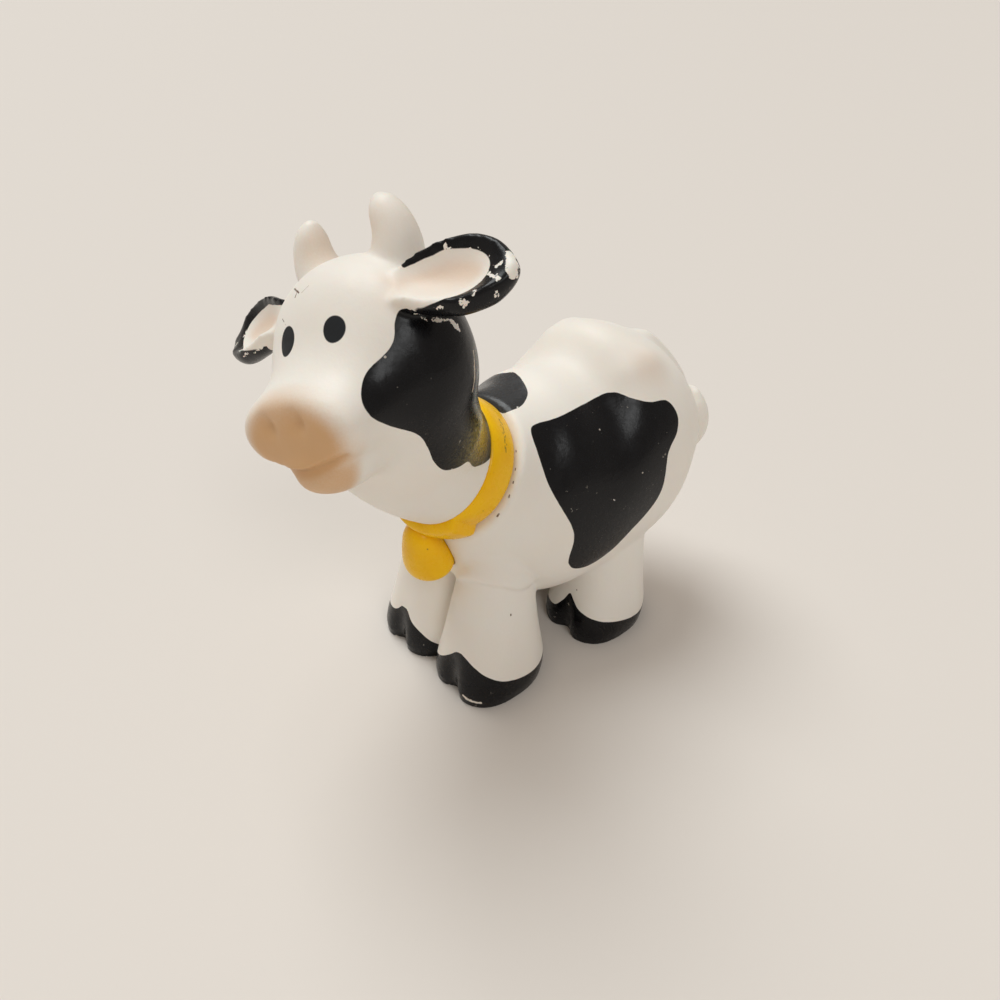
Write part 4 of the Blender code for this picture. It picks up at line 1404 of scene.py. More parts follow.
    def muzzle_tint(self, seen: Rows) -> Rows:
        """How strong the tan is on the muzzle and the chin, at vertices seen from the head's frame."""
        face = seen[:, [0, 2]] / MM
        fore = step(-seen[:, 1] / MM, *self.fore_run)
        muzzle = fore * step(self.muzzle.distance(face), -self.muzzle_fade, self.muzzle_fade)
        muzzle *= 1 - self.muzzle_paler * step(face[:, 1], *self.muzzle_paler_run)
        chin = self.chin_strength * fore * step(self.chin.distance(face), *self.chin_run)
        return most([muzzle, chin])

    def horn_tints(self, seen: Rows, head: HeadMoulding) -> Rows:
        """How strong the faint tan is round the roots of the horns."""
        rise = head.horn_root_rise + self.horn_tint_rise
        tints = []
        for side in Side:
            root = np.array((side * head.horn_root_spread / 2, head.horn_back, rise))
            off = np.linalg.norm(seen - root, axis=1) / MM
            tints.append(self.horn_tint * step(-off, *self.horn_tint_run))
        return most(tints)

    def ear_dish_shade(self, seen: Rows, head: HeadMoulding) -> Rows:
        """How strong the painted shade is in the hollows of the ear dishes, more so in their upper halves.
        """
        tints = []
        for side in Side:
            leaf = local(seen, head.ear_frame(side)) / MM
            deep = step(-leaf[:, 2], *self.deep_run)
            deep *= step(self.dish.distance(leaf[:, :2]), *self.deep_edge_run)
            deep *= self.deep_least + self.deep_more * step(leaf[:, 1], *self.deep_upper_run)
            deep *= np.abs(leaf[:, 2]) < self.deep_reach
            tints.append(np.where(np.sign(seen[:, 0]) == side, deep, 0.0))
        return most(tints)


# The finishes


@dataclass(frozen=True)
class Grain:
    """A noise pattern in a piece's own coordinates.

    Args:
        scale: How many features it has per metre.
        detail: How many finer layers it has.
        roughness: How strong those are.
        shift: Moves the pattern, in metres.
        span: The values between which it steps from none to all, or None to leave the noise raw.
        levels: What it gives at none and at all.
    """

    scale: float
    detail: float = 2.0
    roughness: float = 0.5
    shift: float = 0.0
    span: Span | None = None
    levels: Span = (0.0, 1.0)


STREAK_GRAIN = Grain(2500.0, 2.0, 0.6, 0.8)
CHIP_GRAIN = Grain(1500.0, 3.0, 0.65)


@dataclass(frozen=True)
class Specks:
    """Small round specks scattered over a piece.

    Args:
        scale: How many cells there are per metre.
        size: The size of a speck as a share of its cell.
        share: The share of the cells that hold one.
        shift: Moves the pattern, in metres.
    """

    scale: float
    size: float
    share: float
    shift: float


class Tree:
    """Builds a node tree in short steps."""

    def __init__(self, nodes: bpy.types.Nodes, links: bpy.types.NodeLinks) -> None:
        """Takes the nodes and links of the tree that it builds."""
        self.nodes = nodes
        self.links = links

    def add(self, kind: str, **settings: object) -> bpy.types.Node:
        """Adds a node and sets its own settings."""
        node = self.nodes.new(kind)
        for key, value in settings.items():
            setattr(node, key, value)
        return node

    def put(self, socket: Socket, value: object) -> None:
        """Links an output to a socket, or sets the socket's value."""
        if isinstance(value, Socket):
            self.links.new(value, socket)
        else:
            socket.default_value = value

    def math(self, operation: str, *values: object, clamp: bool = False) -> Socket:
        """One step of arithmetic."""
        node = self.add("ShaderNodeMath", operation=operation, use_clamp=clamp)
        for socket, value in zip(node.inputs, values):
            self.put(socket, value)
        return node.outputs[0]

    def ramp(
        self, value: object, low: float, high: float, start: float = 0.0, end: float = 1.0
    ) -> Socket:
        """A soft step of value from start at low to end at high."""
        node = self.add("ShaderNodeMapRange", interpolation_type="SMOOTHSTEP")
        for socket, given in zip(node.inputs, (value, low, high, start, end)):
            self.put(socket, given)
        return node.outputs[0]

    def layer(self, layer: Layer) -> Socket:
        """The value of one layer of paint."""
        return self.add("ShaderNodeAttribute", attribute_name=layer.value).outputs["Fac"]

    def place(self, shift: Place = (0.0, 0.0, 0.0)) -> Socket:
        """The piece's own coordinates, moved by a shift."""
        place = self.add("ShaderNodeTexCoord").outputs["Object"]
        if not any(shift):
            return place
        moved = self.add("ShaderNodeMapping")
        self.put(moved.inputs["Vector"], place)
        moved.inputs["Location"].default_value = shift
        return moved.outputs[0]

    def noise(self, grain: Grain) -> bpy.types.Node:
        """A noise node for a grain, on the piece's own coordinates."""
        shift = (grain.shift, grain.shift * 0.7, -grain.shift)
        node = self.add("ShaderNodeTexNoise")
        self.put(node.inputs["Vector"], self.place(shift))
        self.put(node.inputs["Scale"], grain.scale)
        self.put(node.inputs["Detail"], grain.detail)
        self.put(node.inputs["Roughness"], grain.roughness)
        return node

    def grain(self, grain: Grain) -> Socket:
        """The value of a grain."""
        value = self.noise(grain).outputs[0]
        if grain.span is None:
            return value
        return self.ramp(value, *grain.span, *grain.levels)

    def centred(self, grain: Grain, *scaled: object) -> Socket:
        """A grain less its mean of a half, then times and plus the values given, if any."""
        value = self.math("SUBTRACT", self.grain(grain), 0.5)
        return self.math("MULTIPLY_ADD", value, *scaled) if scaled else value

    def vector(self, operation: str, *values: object) -> bpy.types.NodeOutputs:
        """One step of vector arithmetic."""
        node = self.add("ShaderNodeVectorMath", operation=operation)
        for socket, value in zip(node.inputs, values):
            self.put(socket, value)
        return node.outputs

    def specks(self, specks: Specks) -> Socket:
        """1 inside the small round specks scattered over the piece, and 0 outside them."""
        scale, size, share, shift = specks.scale, specks.size, specks.share, specks.shift
        cells = self.add("ShaderNodeTexVoronoi")
        self.put(cells.inputs["Vector"], self.place((shift, -shift, shift * 0.4)))
        self.put(cells.inputs["Scale"], scale)
        spot = self.ramp(cells.outputs["Distance"], size, size * 0.6)
        pick = self.add("ShaderNodeSeparateColor")
        self.put(pick.inputs[0], cells.outputs["Color"])
        chosen = self.math("LESS_THAN", pick.outputs[0], share)
        return self.math("MULTIPLY", spot, chosen)

    def gap_to(self, place: Socket, mark: Mark) -> Socket:
        """How far a place is from the line of a mark, in metres."""
        run = Vector(mark.end) - Vector(mark.start)
        off = self.vector("SUBTRACT", place, mark.start)["Vector"]
        along = self.vector("DOT_PRODUCT", off, run / run.length_squared)["Value"]
        share = self.math("MULTIPLY", along, 1.0, clamp=True)
        near = self.add("ShaderNodeVectorMath", operation="SCALE")
        self.put(near.inputs[0], run)
        self.put(near.inputs["Scale"], share)
        return self.vector("DISTANCE", off, near.outputs["Vector"])["Value"]

    def streak(self, mark: Mark) -> Socket:
        """1 on a hairline scratch or a speck and 0 beside it."""
        waver = self.grain(STREAK_GRAIN)
        ragged = self.math("MULTIPLY_ADD", waver, mark.width * 1.4, mark.width * 0.2)
        ratio = self.math("DIVIDE", self.gap_to(self.place(), mark), ragged)
        return self.ramp(ratio, 1.0, 0.4)

    def chipped(self, chips: Sequence[Mark], ragged: float, fade: float) -> Socket:
        """The ragged chips where paint has come off.

        Args:
            chips: Their middle lines and widths.
            ragged: How far their edges stray, in metres.
            fade: Half the width over which an edge fades, in metres.

        Returns:
            1 inside a chip and 0 elsewhere.
        """
        rough = self.noise(CHIP_GRAIN).outputs["Color"]
        centred = self.vector("SUBTRACT", rough, (0.5,) * 3)["Vector"]
        strayed = self.vector("MULTIPLY_ADD", centred, (ragged,) * 3, self.place())["Vector"]
        inside = -1.0
        for chip in chips:
            level = self.math("SUBTRACT", chip.width, self.gap_to(strayed, chip))
            inside = self.math("MAXIMUM", level, inside)
        return self.ramp(inside, -fade, fade)

    def part(self, share: object, strength: float) -> Socket:
        """A share made weaker, and held between 0 and 1."""
        return self.math("MULTIPLY", share, strength, clamp=True)

    def less(self, share: object) -> Socket:
        """What a share leaves of the whole."""
        return self.math("SUBTRACT", 1.0, share)

    def blend(self, share: object, low: object, high: object) -> Socket:
        """Mixes two colours by a share."""
        node = self.add("ShaderNodeMix", data_type="RGBA", clamp_factor=True)
        self.put(node.inputs["Factor"], share)
        self.put(node.inputs["A"], low)
        self.put(node.inputs["B"], high)
        return node.outputs["Result"]

    def dress(self, colour: object, rough: object, normal: object) -> None:
        """Gives the surface its colour, its roughness and its fine relief."""
        shader = self.nodes["Principled BSDF"]
        for name, value in (("Base Color", colour), ("Roughness", rough), ("Normal", normal)):
            self.put(shader.inputs[name], value)

    def bump(
        self, height: object, strength: float, distance: float, onto: object = None
    ) -> Socket:
        """Turns a height into a shading normal."""
        node = self.add("ShaderNodeBump")
        node.inputs["Strength"].default_value = strength
        node.inputs["Distance"].default_value = distance
        self.put(node.inputs["Height"], height)
        if onto is not None:
            self.put(node.inputs["Normal"], onto)
        return node.outputs[0]


def marked(tree: Tree, colour: object, marks: Sequence[Mark]) -> object:
    """A colour with the marks drawn over it."""
    for mark in marks:
        colour = tree.blend(tree.streak(mark), colour, mark.colour)
    return colour


def soft_surface(
    name: str, ior: float, glow_share: float, glow_radius: Place, glow_depth: float
) -> tuple[Material, Tree]:
    """A new material of soft plastic, lit a little from inside.

    Args:
        name: Its name.
        ior: How strongly its face mirrors, as an index of refraction.
        glow_share: How much of the light goes through its inside.
        glow_radius: How far red, green and blue go in it, as shares of the depth.
        glow_depth: The depth, in metres.

    Returns:
        The material and its tree.
    """
    made = bpy.data.materials.new(name)
    made.use_nodes = True
    tree = Tree(made.node_tree.nodes, made.node_tree.links)
    shader = tree.nodes["Principled BSDF"]
    shader.inputs["IOR"].default_value = ior
    shader.inputs["Subsurface Weight"].default_value = glow_share
    shader.inputs["Subsurface Radius"].default_value = glow_radius
    shader.inputs["Subsurface Scale"].default_value = glow_depth
    return made, tree


@dataclass(frozen=True)
class PaintedVinyl:
    """White vinyl with its paint, from the layers stored on the piece."""

    name: str
    marks: tuple[Mark, ...] = ()
    chips: tuple[Mark, ...] = ()
    vinyl: Colour = (0.86, 0.82, 0.755, 1.0)
    vinyl_warm: Colour = (0.84, 0.75, 0.65, 1.0)
    black: Colour = (0.004, 0.004, 0.005, 1.0)
    eye: Colour = (0.010, 0.012, 0.014, 1.0)
    tan: Colour = (0.66, 0.40, 0.20, 1.0)
    # Pink-tan, for the tint on the hip and for the painted shade in the hollows of the ear dishes.
    pink_and_shade: Colour = (0.74, 0.50, 0.33, 1.0)
    yellow: Colour = (0.55, 0.42, 0.07, 1.0)
    dust: Colour = (0.55, 0.50, 0.44, 1.0)
    faded: Colour = (0.035, 0.036, 0.038, 1.0)
    mottle: Grain = Grain(110.0, 3.0, span=(0.35, 0.65))
    mottle_strength: float = 0.22
    spray_grit: Grain = Grain(5200.0, 1.0, 0.5, 0.3)
    spray_grit_strength: float = 0.12
    tan_run: Span = (0.05, 0.95)
    pink_and_shade_strength: float = 0.26
    wander: Grain = Grain(700.0, 2.0, 0.5, 0.1)
    wander_strength: float = 0.12
    black_edge: Span = (-0.04, 0.04)
    flaking: Grain = Grain(1500.0, 4.0, 0.62, 0.2)
    flaking_strength: float = 2.2
    flaking_from: float = 0.62
    flaking_edge: Span = (-0.02, 0.05)
    chip_ragged: float = 0.0013
    chip_fade: float = 0.00003
    specks: Specks = Specks(1100.0, 0.16, 0.028, 0.05)
    scuffs: Grain = Grain(900.0, 5.0, 0.7, 0.5, (0.66, 0.70))
    scuff_strength: float = 0.5
    dust_strength: float = 0.8
    eye_edge: Span = (-0.04, 0.05)
    eye_dull: float = 0.12
    speckle: Grain = Grain(3600.0, 2.0, 0.6, 0.7, (0.30, 0.62))
    speckle_strength: float = 0.9
    matt: Grain = Grain(600.0, 3.0, 0.6, 0.9, (0.3, 0.7), (0.40, 0.50))
    sheen: Grain = Grain(800.0, 3.0, 0.6, 0.4, (0.3, 0.7), (0.22, 0.32))
    pores: Grain = Grain(1500.0, 3.0, 0.55, 0.6)
    pore_strength: float = 0.12
    pore_depth: float = 0.0002
    paint_strength: float = 0.35
    paint_depth: float = 0.00004

    def white(self, tree: Tree) -> Socket:
        """The colour of the bare vinyl with its tan spray, its pink tint and its painted shade."""
        mottle = tree.math("MULTIPLY", tree.grain(self.mottle), self.mottle_strength)
        colour = tree.blend(mottle, self.vinyl, self.vinyl_warm)
        tan = tree.centred(self.spray_grit, self.spray_grit_strength, tree.layer(Layer.TAN))
        colour = tree.blend(tree.ramp(tan, *self.tan_run), colour, self.tan)
        # Pink-tan: a tint on the hip, and painted shade in the hollows of the ear dishes.
        pink_and_shade = tree.math("MULTIPLY", tree.layer(Layer.PINK_AND_SHADE), self.pink_and_shade_strength)
        return tree.blend(pink_and_shade, colour, self.pink_and_shade)

    def covered(self, tree: Tree) -> Socket:
        """Where black paint still covers the vinyl."""
        wander = tree.math("MULTIPLY", tree.centred(self.wander), self.wander_strength)
        edge = tree.math("ADD", tree.layer(Layer.BLACK), wander)
        worn = tree.math("SUBTRACT", tree.layer(Layer.WEAR), self.flaking_from)
        loss = tree.centred(self.flaking, self.flaking_strength, worn)
        kept = tree.less(tree.ramp(loss, *self.flaking_edge))
        black = tree.math("MULTIPLY", tree.ramp(edge, *self.black_edge), kept, clamp=True)
        if not self.chips:
            return black
        chipped = tree.chipped(self.chips, self.chip_ragged, self.chip_fade)
        return tree.math("MULTIPLY", black, tree.less(chipped))

    def black_paint(self, tree: Tree) -> Socket:
        """The colour of the black paint, with its faded parts, specks and scuffs."""
        scuffs = tree.math("MULTIPLY", tree.grain(self.scuffs), self.scuff_strength)
        dust = tree.math("MAXIMUM", tree.specks(self.specks), scuffs)
        paint = tree.blend(tree.layer(Layer.FADED), self.black, self.faded)
        return tree.blend(tree.math("MULTIPLY", dust, self.dust_strength), paint, self.dust)

    def make(self) -> Material:
        """Builds the material."""
        made, tree = soft_surface(self.name, 1.33, 0.18, (1.0, 0.55, 0.35), 0.0018)
        black = self.covered(tree)
        eye = tree.ramp(tree.layer(Layer.EYE), *self.eye_edge)
        colour = tree.blend(black, self.white(tree), self.black_paint(tree))
        colour = tree.blend(eye, colour, self.eye)
        speckle = tree.math("MULTIPLY", tree.layer(Layer.YELLOW), tree.grain(self.speckle))
        colour = tree.blend(tree.part(speckle, self.speckle_strength), colour, self.yellow)
        matt = tree.math("MULTIPLY", tree.grain(self.matt), tree.less(black))
        rough = tree.math("MULTIPLY_ADD", tree.grain(self.sheen), black, matt)
        pores = tree.bump(tree.grain(self.pores), self.pore_strength, self.pore_depth)
        tree.dress(
            marked(tree, colour, self.marks),
            tree.math("MULTIPLY_ADD", eye, self.eye_dull, rough),
            tree.bump(black, self.paint_strength, self.paint_depth, pores),
        )
        return made


@dataclass(frozen=True)
class YellowPaint:
    """The glossy yellow of the collar and the bell, with its scuffs."""

    name: str
    marks: tuple[Mark, ...] = ()
    yellow: Colour = (0.96, 0.56, 0.0005, 1.0)
    deep: Colour = (0.86, 0.43, 0.0005, 1.0)
    grime: Colour = (0.16, 0.09, 0.03, 1.0)
    specks: Specks = Specks(1500.0, 0.2, 0.05, 0.11)
    tone: Grain = Grain(240.0, 3.0, 0.55, span=(0.3, 0.7))
    tone_strength: float = 0.45
    rubbing: Grain = Grain(1700.0, 4.0, 0.7, 0.3, (0.68, 0.72))
    rubbing_strength: float = 0.6
    grime_strength: float = 0.75
    gloss: Grain = Grain(900.0, 3.0, 0.6, 0.9, (0.3, 0.7), (0.24, 0.34))
    pores: Grain = Grain(1300.0, 3.0, 0.55, 0.6)
    pore_strength: float = 0.15
    pore_depth: float = 0.0002

    def make(self) -> Material:
        """Builds the material."""
        made, tree = soft_surface(self.name, 1.34, 0.08, (1.0, 0.5, 0.1), 0.0010)
        tone = tree.math("MULTIPLY", tree.grain(self.tone), self.tone_strength)
        rubbed = tree.math("MULTIPLY", tree.grain(self.rubbing), self.rubbing_strength)
        worn = tree.math("MAXIMUM", tree.specks(self.specks), rubbed)
        colour = tree.blend(tone, self.yellow, self.deep)
        colour = tree.blend(tree.math("MULTIPLY", worn, self.grime_strength), colour, self.grime)
        tree.dress(
            marked(tree, colour, self.marks),
            tree.grain(self.gloss),
            tree.bump(tree.grain(self.pores), self.pore_strength, self.pore_depth),
        )
        return made


# The collar and the bell, whose shapes follow a rule


class Recipe:
    """A Geometry Nodes tree with named sizes, run once to give a plain mesh."""

    def __init__(self, name: str, sizes: dict[str, float], surface: Material) -> None:
        """Starts a tree that wraps a square sheet round into a closed form.

        Args:
            name: The name of the tree and of its mesh.
            sizes: The named inputs, in metres or radians.
            surface: The material of the result.
        """
        self.name = name
        self.sizes = sizes
        self.group = bpy.data.node_groups.new(name, "GeometryNodeTree")
        self.group.interface.new_socket("Geometry", in_out="OUTPUT", socket_type="NodeSocketGeometry")
        self.idents = {}
        for label, value in sizes.items():
            socket = self.group.interface.new_socket(label, in_out="INPUT", socket_type="NodeSocketFloat")
            socket.default_value = value
            self.idents[label] = socket.identifier
        self.tree = Tree(self.group.nodes, self.group.links)
        self.given = self.tree.add("NodeGroupInput").outputs
        self.surface = surface

    def size(self, label: str) -> Socket:
        """A named size as a socket."""
        return self.given[label]

    def sheet(self, round_steps: int, along_steps: int) -> tuple[Socket, ...]:
        """Adds the sheet that is wrapped.

        Args:
            round_steps: How many steps it has in its first direction.
            along_steps: How many in its second.

        Returns:
            The sheet, and its two coordinates, each from -0.5 to 0.5.
        """
        grid = self.tree.add("GeometryNodeMeshGrid")
        for socket, value in zip(grid.inputs, (1.0, 1.0, round_steps + 1, along_steps + 1)):
            self.tree.put(socket, value)
        split = self.tree.add("ShaderNodeSeparateXYZ")
        self.tree.put(split.inputs[0], self.tree.add("GeometryNodeInputPosition").outputs[0])
        return grid.outputs["Mesh"], split.outputs["X"], split.outputs["Y"]

    def curve(self, value: object, points: Sequence[tuple[float, float]]) -> Socket:
        """Reads a smooth curve from 0 to 1 at a value."""
        node = self.tree.add("ShaderNodeFloatCurve")
        mapping = node.mapping.curves[0]
        mapping.points[0].location = points[0]
        mapping.points[-1].location = points[-1]
        for point in points[1:-1]:
            mapping.points.new(*point)
        node.mapping.update()
        self.tree.put(node.inputs["Value"], value)
        return node.outputs[0]

    def rounded(self, wave: object, power: float) -> Socket:
        """A wave from -1 to 1 made squarer by a power under 1, with its sign kept."""
        size = self.tree.math("POWER", self.tree.math("ABSOLUTE", wave), power)
        return self.tree.math("MULTIPLY", size, self.tree.math("SIGN", wave))

    def run(self, sheet: Socket, x: object, y: object, z: object) -> Mesh:
        """Moves the sheet's points, welds it closed and gives the result.

        Args:
            sheet: The sheet.
            x: The new first coordinate of its points.
            y: The second.
            z: The third.

        Returns:
            The form as a plain mesh.
        """
        place = self.tree.add("ShaderNodeCombineXYZ")
        for socket, value in zip(place.inputs, (x, y, z)):
            self.tree.put(socket, value)
        moved = self.tree.add("GeometryNodeSetPosition")
        self.tree.put(moved.inputs["Geometry"], sheet)
        self.tree.put(moved.inputs["Position"], place.outputs[0])
        weld = self.tree.add("GeometryNodeMergeByDistance")
        self.tree.put(weld.inputs["Geometry"], moved.outputs[0])
        weld.inputs["Distance"].default_value = 0.000004
        smooth = self.tree.add("GeometryNodeSetShadeSmooth")
        self.tree.put(smooth.inputs["Geometry"], weld.outputs[0])
        real = self.tree.add("GeometryNodeRealizeInstances")
        self.tree.put(real.inputs["Geometry"], smooth.outputs[0])
        dressed = self.tree.add("GeometryNodeSetMaterial")
        self.tree.put(dressed.inputs["Geometry"], real.outputs[0])
        dressed.inputs["Material"].default_value = self.surface
        self.tree.put(self.tree.add("NodeGroupOutput").inputs[0], dressed.outputs[0])

        holder = added(self.name + "_recipe", bpy.data.meshes.new(self.name))
        modifier = holder.modifiers.new("recipe", "NODES")
        modifier.node_group = self.group
        for label, value in self.sizes.items():
            modifier[self.idents[label]] = value
        made = evaluated(holder)
        holder.modifiers.remove(modifier)
        bpy.data.objects.remove(holder)
        faced(made)
        return made


@dataclass
class Collar:
    """The collar: a crowned ring with a thicker strap where it crosses the chest."""

    seat: Seat
    width: float = 0.0040
    thickness: float = 0.0016
    strap_lift: float = 0.0010
    strap_deg: float = 104.0
    ramp_deg: float = 6.0
    fit: float = 0.0003
    spread: float = 0.00018
    squareness: float = 0.72
    scuff_count: int = 12
    scuff_from_deg: float = 124.0
    scuff_step_deg: float = 2.3
    scuff_lift: float = 0.00002
    scuff_width: float = 0.00012
    scuff_colour: Colour = (0.30, 0.20, 0.01, 1.0)
    round_steps: int = 300
    profile_steps: int = 40

    def scuffs(self, shift: Vector) -> tuple[Mark, ...]:
        """A worn line of dark dots along the middle of the band's left side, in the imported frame."""
        marks = []
        for i in range(self.scuff_count):
            turn = math.radians(self.scuff_from_deg + self.scuff_step_deg * i)
            rise = self.fit + self.width * (0.5 + 0.05 * math.sin(2.3 * i))
            spot = Vector((math.sin(turn), -math.cos(turn), 0)) * (self.seat.radius + self.scuff_lift)
            along = Vector((math.cos(turn), math.sin(turn), 0)) * (0.00016 + 0.0001 * math.cos(1.7 * i))
            ends = [self.seat.place @ (spot + along * k + Vector((0, 0, rise))) + shift for k in (-1, 1)]
            marks.append(Mark(*map(tuple, ends), self.scuff_width, self.scuff_colour))
        return tuple(marks)

    def mesh(self, surface: Material) -> Mesh:
        """The ring as a plain mesh, with its place in its vertices."""
        recipe = Recipe("collar", {
            "Radius": self.seat.radius,
            "Width": self.width + 2 * self.spread,
            "Thickness": self.thickness,
            "Strap Lift": self.strap_lift,
            "Strap Half": math.radians(self.strap_deg / 2),
            "Strap Ramp": math.radians(self.ramp_deg),
            "Rise": self.fit + self.width / 2,
        }, surface)
        tree = recipe.tree
        sheet, u, v = recipe.sheet(self.round_steps, self.profile_steps)
        turn = tree.math("MULTIPLY", u, 2 * math.pi)
        wave = tree.math("MULTIPLY", v, 2 * math.pi)
        outwards = recipe.rounded(tree.math("COSINE", wave), self.squareness)
        upwards = recipe.rounded(tree.math("SINE", wave), self.squareness)
        off = tree.math("SUBTRACT", recipe.size("Strap Half"), tree.math("ABSOLUTE", turn))
        risen = tree.ramp(off, 0.0, recipe.size("Strap Ramp"))
        outer = tree.ramp(outwards, -0.2, 0.6)
        lift = tree.math("MULTIPLY", tree.math("MULTIPLY", recipe.size("Strap Lift"), risen), outer)
        half = tree.math("MULTIPLY", recipe.size("Thickness"), 0.5)
        radius = tree.math("SUBTRACT", recipe.size("Radius"), half)
        radius = tree.math("ADD", tree.math("MULTIPLY_ADD", half, outwards, radius), lift)
        height = tree.math("MULTIPLY", recipe.size("Width"), 0.5)
        height = tree.math("MULTIPLY_ADD", height, upwards, recipe.size("Rise"))
        x = tree.math("MULTIPLY", radius, tree.math("SINE", turn))
        y = tree.math("MULTIPLY", radius, tree.math("MULTIPLY", tree.math("COSINE", turn), -1.0))
        made = recipe.run(sheet, x, y, height)
        made.transform(self.seat.place)
        return made


@dataclass
class Bell:
    """The small bell that hangs from the strap and lies back against the chest."""

    seat: Seat
    length: float = 0.0074
    width: float = 0.0070
    thickness: float = 0.0062
    lean_deg: float = 15.0
    top_forward: float = 0.0072
    top_drop: float = 0.0056
    swells: tuple[tuple[float, float], ...] = (
        (0.0, 0.0), (0.08, 0.22), (0.16, 0.40), (0.30, 0.62), (0.45, 0.78), (0.60, 0.92),
        (0.72, 1.0), (0.80, 0.985), (0.87, 0.90), (0.93, 0.66), (1.0, 0.0),
    )
    drops: tuple[tuple[float, float], ...] = (
        (0.0, 0.0), (0.08, 0.01), (0.16, 0.06), (0.30, 0.19), (0.45, 0.38), (0.60, 0.60),
        (0.72, 0.80), (0.80, 0.90), (0.87, 0.965), (0.93, 0.995), (1.0, 1.0),
    )
    bed: float = 0.00012
    round_steps: int = 120
    along_steps: int = 80

    @property
    def place(self) -> Matrix:
        """The top of the bell as a place, with its Z up along the bell."""
        lean = math.radians(self.lean_deg)
        top = Vector((0, -self.seat.forward - self.top_forward, self.seat.height - self.top_drop))
        return placed(top, (1, 0, 0), (0, -math.sin(lean), math.cos(lean)))

    def mesh(self, surface: Material, grown: float = 0.0) -> Mesh:
        """The bell as a plain mesh, with its place in its vertices.

        Args:
            surface: Its material.
            grown: How much bigger it is made all round.

        Returns:
            The mesh.
        """
        recipe = Recipe("bell", {
            "Length": self.length + 2 * grown,
            "Width": self.width + 2 * grown,
            "Thickness": self.thickness + 2 * grown,
        }, surface)
        tree = recipe.tree
        sheet, u, v = recipe.sheet(self.round_steps, self.along_steps)
        turn = tree.math("MULTIPLY", u, 2 * math.pi)
        along = tree.math("ADD", v, 0.5)
        swell = recipe.curve(along, self.swells)
        drop = recipe.curve(along, self.drops)
        half_wide = tree.math("MULTIPLY", recipe.size("Width"), 0.5)
        half_deep = tree.math("MULTIPLY", recipe.size("Thickness"), 0.5)
        x = tree.math("MULTIPLY", tree.math("MULTIPLY", half_wide, swell), tree.math("COSINE", turn))
        y = tree.math("MULTIPLY", tree.math("MULTIPLY", half_deep, swell), tree.math("SINE", turn))
        z = tree.math("MULTIPLY", tree.math("MULTIPLY", recipe.size("Length"), drop), -1.0)
        made = recipe.run(sheet, x, y, z)
        made.transform(self.place @ Matrix.Translation((0, 0, grown)))
        return made


# The studio


@dataclass(frozen=True)
class Lamp:
    """One soft far lamp.

    Args:
        name: Its name.
        towards: The direction from the toy to the lamp.
        spread_deg: How wide it is, seen from the toy.
        power: Its power in watts per square metre.
        colour: Its colour.
    """

    name: str
    towards: Place
    spread_deg: float
    power: float
    colour: Place = (1.0, 1.0, 1.0)

    def hang(self) -> None:
        """Hangs the lamp, turned to the toy."""
        light = bpy.data.lights.new(self.name, "SUN")
        light.angle = math.radians(self.spread_deg)
        light.energy = self.power
        light.color = self.colour
        made = added(self.name, light)
        made.location = self.towards
        made.rotation_euler = (-Vector(self.towards)).to_track_quat("-Z", "Y").to_euler()


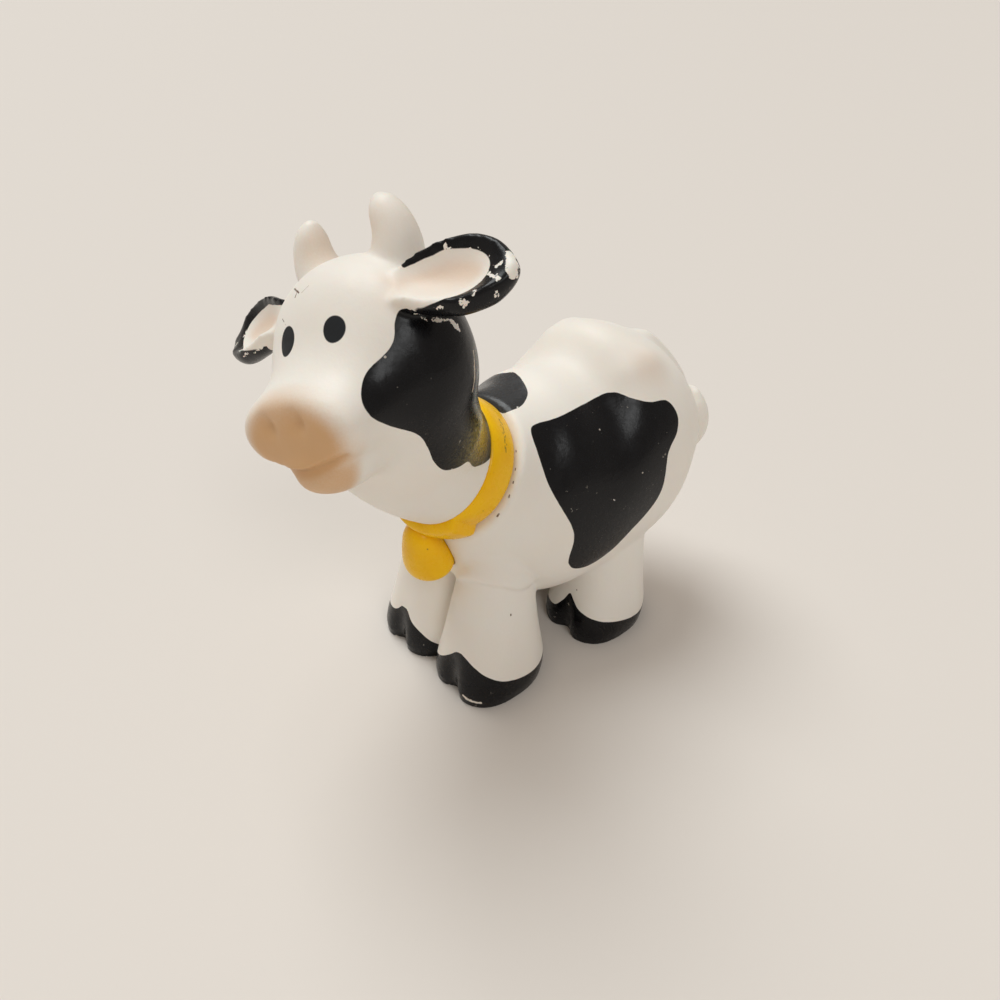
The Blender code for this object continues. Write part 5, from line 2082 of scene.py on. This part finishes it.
@dataclass(frozen=True)
class Studio:
    """A plain pale floor, soft light and the camera at the photograph's angle."""

    floor_colour: Colour = (0.72, 0.67, 0.62, 1.0)
    floor_shade: Colour = (0.70, 0.67, 0.63, 1.0)
    floor_tone: Grain = Grain(40.0, 3.0, span=(0.3, 0.7), levels=(0.97, 1.0))
    floor_roughness: float = 0.75
    floor_half: float = 15.0
    fill: Colour = (1.0, 0.91, 0.82, 1.0)
    fill_strength: float = 0.38
    backdrop: Colour = (0.70, 0.66, 0.62, 1.0)
    lamps: tuple[Lamp, ...] = (
        Lamp("window", (-0.46, -0.02, 0.88), 38.0, 2.0, (0.95, 0.99, 1.0)),
        Lamp("room", (0.69, -0.23, 0.68), 24.0, 0.55, (0.97, 0.99, 1.0)),
    )
    eye: Place = (0.059143, -0.067910, 0.080000)
    azimuth_deg: float = 47.292
    dip_deg: float = 35.564
    roll_deg: float = 1.7715
    focal: float = 0.751

    def floor(self) -> bpy.types.Object:
        """Lays the floor."""
        bm = bmesh.new()
        bmesh.ops.create_grid(bm, x_segments=4, y_segments=4, size=self.floor_half)
        mesh = bpy.data.meshes.new("floor")
        bm.to_mesh(mesh)
        bm.free()
        made = added("floor", mesh)
        surface = bpy.data.materials.new("pale_floor")
        surface.use_nodes = True
        tree = Tree(surface.node_tree.nodes, surface.node_tree.links)
        shader = tree.nodes["Principled BSDF"]
        colour = tree.blend(tree.grain(self.floor_tone), self.floor_shade, self.floor_colour)
        tree.put(shader.inputs["Base Color"], colour)
        shader.inputs["Roughness"].default_value = self.floor_roughness
        mesh.materials.append(surface)
        return made

    def world(self) -> None:
        """Fills the room with soft light."""
        world = bpy.data.worlds.new("soft_room")
        world.use_nodes = True
        tree = Tree(world.node_tree.nodes, world.node_tree.links)
        back = tree.nodes["Background"]
        seen = tree.add("ShaderNodeLightPath").outputs["Is Camera Ray"]
        tree.put(back.inputs["Color"], tree.blend(seen, self.fill, self.backdrop))
        tree.put(back.inputs["Strength"], tree.ramp(seen, 0.0, 1.0, self.fill_strength, 1.0))
        bpy.context.scene.world = world

    def camera(self, shift: Vector) -> None:
        """Sets up the camera.

        Args:
            shift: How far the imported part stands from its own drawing's origin.
        """
        turn = math.radians(self.azimuth_deg)
        dip = math.radians(self.dip_deg)
        roll = math.radians(self.roll_deg)
        far = Vector((-math.sin(turn), math.cos(turn), 0))
        look = far * math.cos(dip) - Vector((0, 0, math.sin(dip)))
        right = Vector((math.cos(turn), math.sin(turn), 0))
        down = -(Vector((0, 0, math.cos(dip))) + far * math.sin(dip))
        across = right * math.cos(roll) - down * math.sin(roll)
        lower = right * math.sin(roll) + down * math.cos(roll)
        data = bpy.data.cameras.new("camera")
        data.sensor_width = 36.0
        data.lens = 36.0 * self.focal
        data.clip_start = 0.005
        data.clip_end = 20.0
        made = added("camera", data)
        made.rotation_mode = "QUATERNION"
        made.rotation_quaternion = Matrix((across, -lower, -look)).transposed().to_quaternion()
        made.location = Vector(self.eye) + shift
        bpy.context.scene.camera = made

    def set_up(self, shift: Vector) -> None:
        """Lays the floor, hangs the lamps and sets up the camera."""
        self.floor()
        self.world()
        for lamp in self.lamps:
            lamp.hang()
        self.camera(shift)
        bpy.context.scene.view_settings.view_transform = "Standard"


# The toy


@dataclass
class ToyCow:
    """The whole toy: its four pieces, each dressed and set where its solid stands."""

    seat: Seat = field(default_factory=Seat)
    body_paint: BodyPaint = field(default_factory=BodyPaint)
    head_paint: HeadPaint = field(default_factory=HeadPaint)
    centring: Place = (0.0009801, 0.0118293, 0.0)
    # The bell's yellow is darker than the collar's: painted shade, as the bell hangs in shadow under the
    # neck.
    bell_shaded_deep: Colour = (0.80, 0.40, 0.001, 1.0)
    bell_specks: Specks = Specks(1500.0, 0.2, 0.02, 0.11)

    def finished(
        self, name: str, mesh: Mesh, shift: Vector, surface: Material
    ) -> None:
        """Sets a finished mesh in place of its solid.

        Args:
            name: The name of the solid, which the piece takes with a word added.
            mesh: The piece's mesh in the part's own frame.
            shift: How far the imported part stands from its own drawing's origin.
            surface: Its material.
        """
        mesh.transform(Matrix.Translation(shift))
        mesh.materials.clear()
        mesh.materials.append(surface)
        mesh.polygons.foreach_set("use_smooth", np.ones(len(mesh.polygons), bool))
        made = added(name + "_dressed", mesh)
        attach(made, "root")
        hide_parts(name)
        LOG.info("%s: %d faces", made.name, len(mesh.polygons))

    def build(self) -> Vector:
        """Builds and dresses every piece.

        Returns:
            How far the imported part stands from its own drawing's origin.
        """
        shift = Vector(self.centring)
        band = Collar(self.seat)
        yellow = YellowPaint("collar_paint", band.scuffs(shift)).make()
        # The bell takes a darker copy of the collar's yellow, as painted shade.
        bell_yellow = YellowPaint("bell_paint", deep=self.bell_shaded_deep, specks=self.bell_specks).make()
        collar = band.mesh(yellow)
        self.finished("collar", collar, shift, yellow)
        bell = Bell(self.seat)
        body = BodyMoulding(self.seat)
        mesh = carved(body.mesh(), bell.mesh(bell_yellow, bell.bed))
        self.finished("bell", bell.mesh(bell_yellow), shift, bell_yellow)
        self.body_paint.lay(mesh, body)
        moved = Matrix.Translation(shift)
        marks = all_placed(self.body_paint.marks, moved)
        surface = PaintedVinyl("painted_vinyl_body", marks).make()
        self.finished("body_shell", mesh, shift, surface)
        head = HeadMoulding(self.seat)
        mesh = head.mesh()
        self.head_paint.lay(mesh, head)
        marks = all_placed(self.head_paint.marks, moved @ head.place)
        chips = all_placed(self.head_paint.chips, moved @ head.place)
        surface = PaintedVinyl("painted_vinyl_head", marks, chips).make()
        self.finished("head_shell", mesh, shift, surface)
        return shift


def main() -> None:
    """Dresses the toy and sets up its studio."""
    logging.basicConfig(level=logging.INFO)
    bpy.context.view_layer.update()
    shift = ToyCow().build()
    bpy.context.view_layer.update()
    Studio().set_up(shift)


if __name__ == "__main__":
    main()
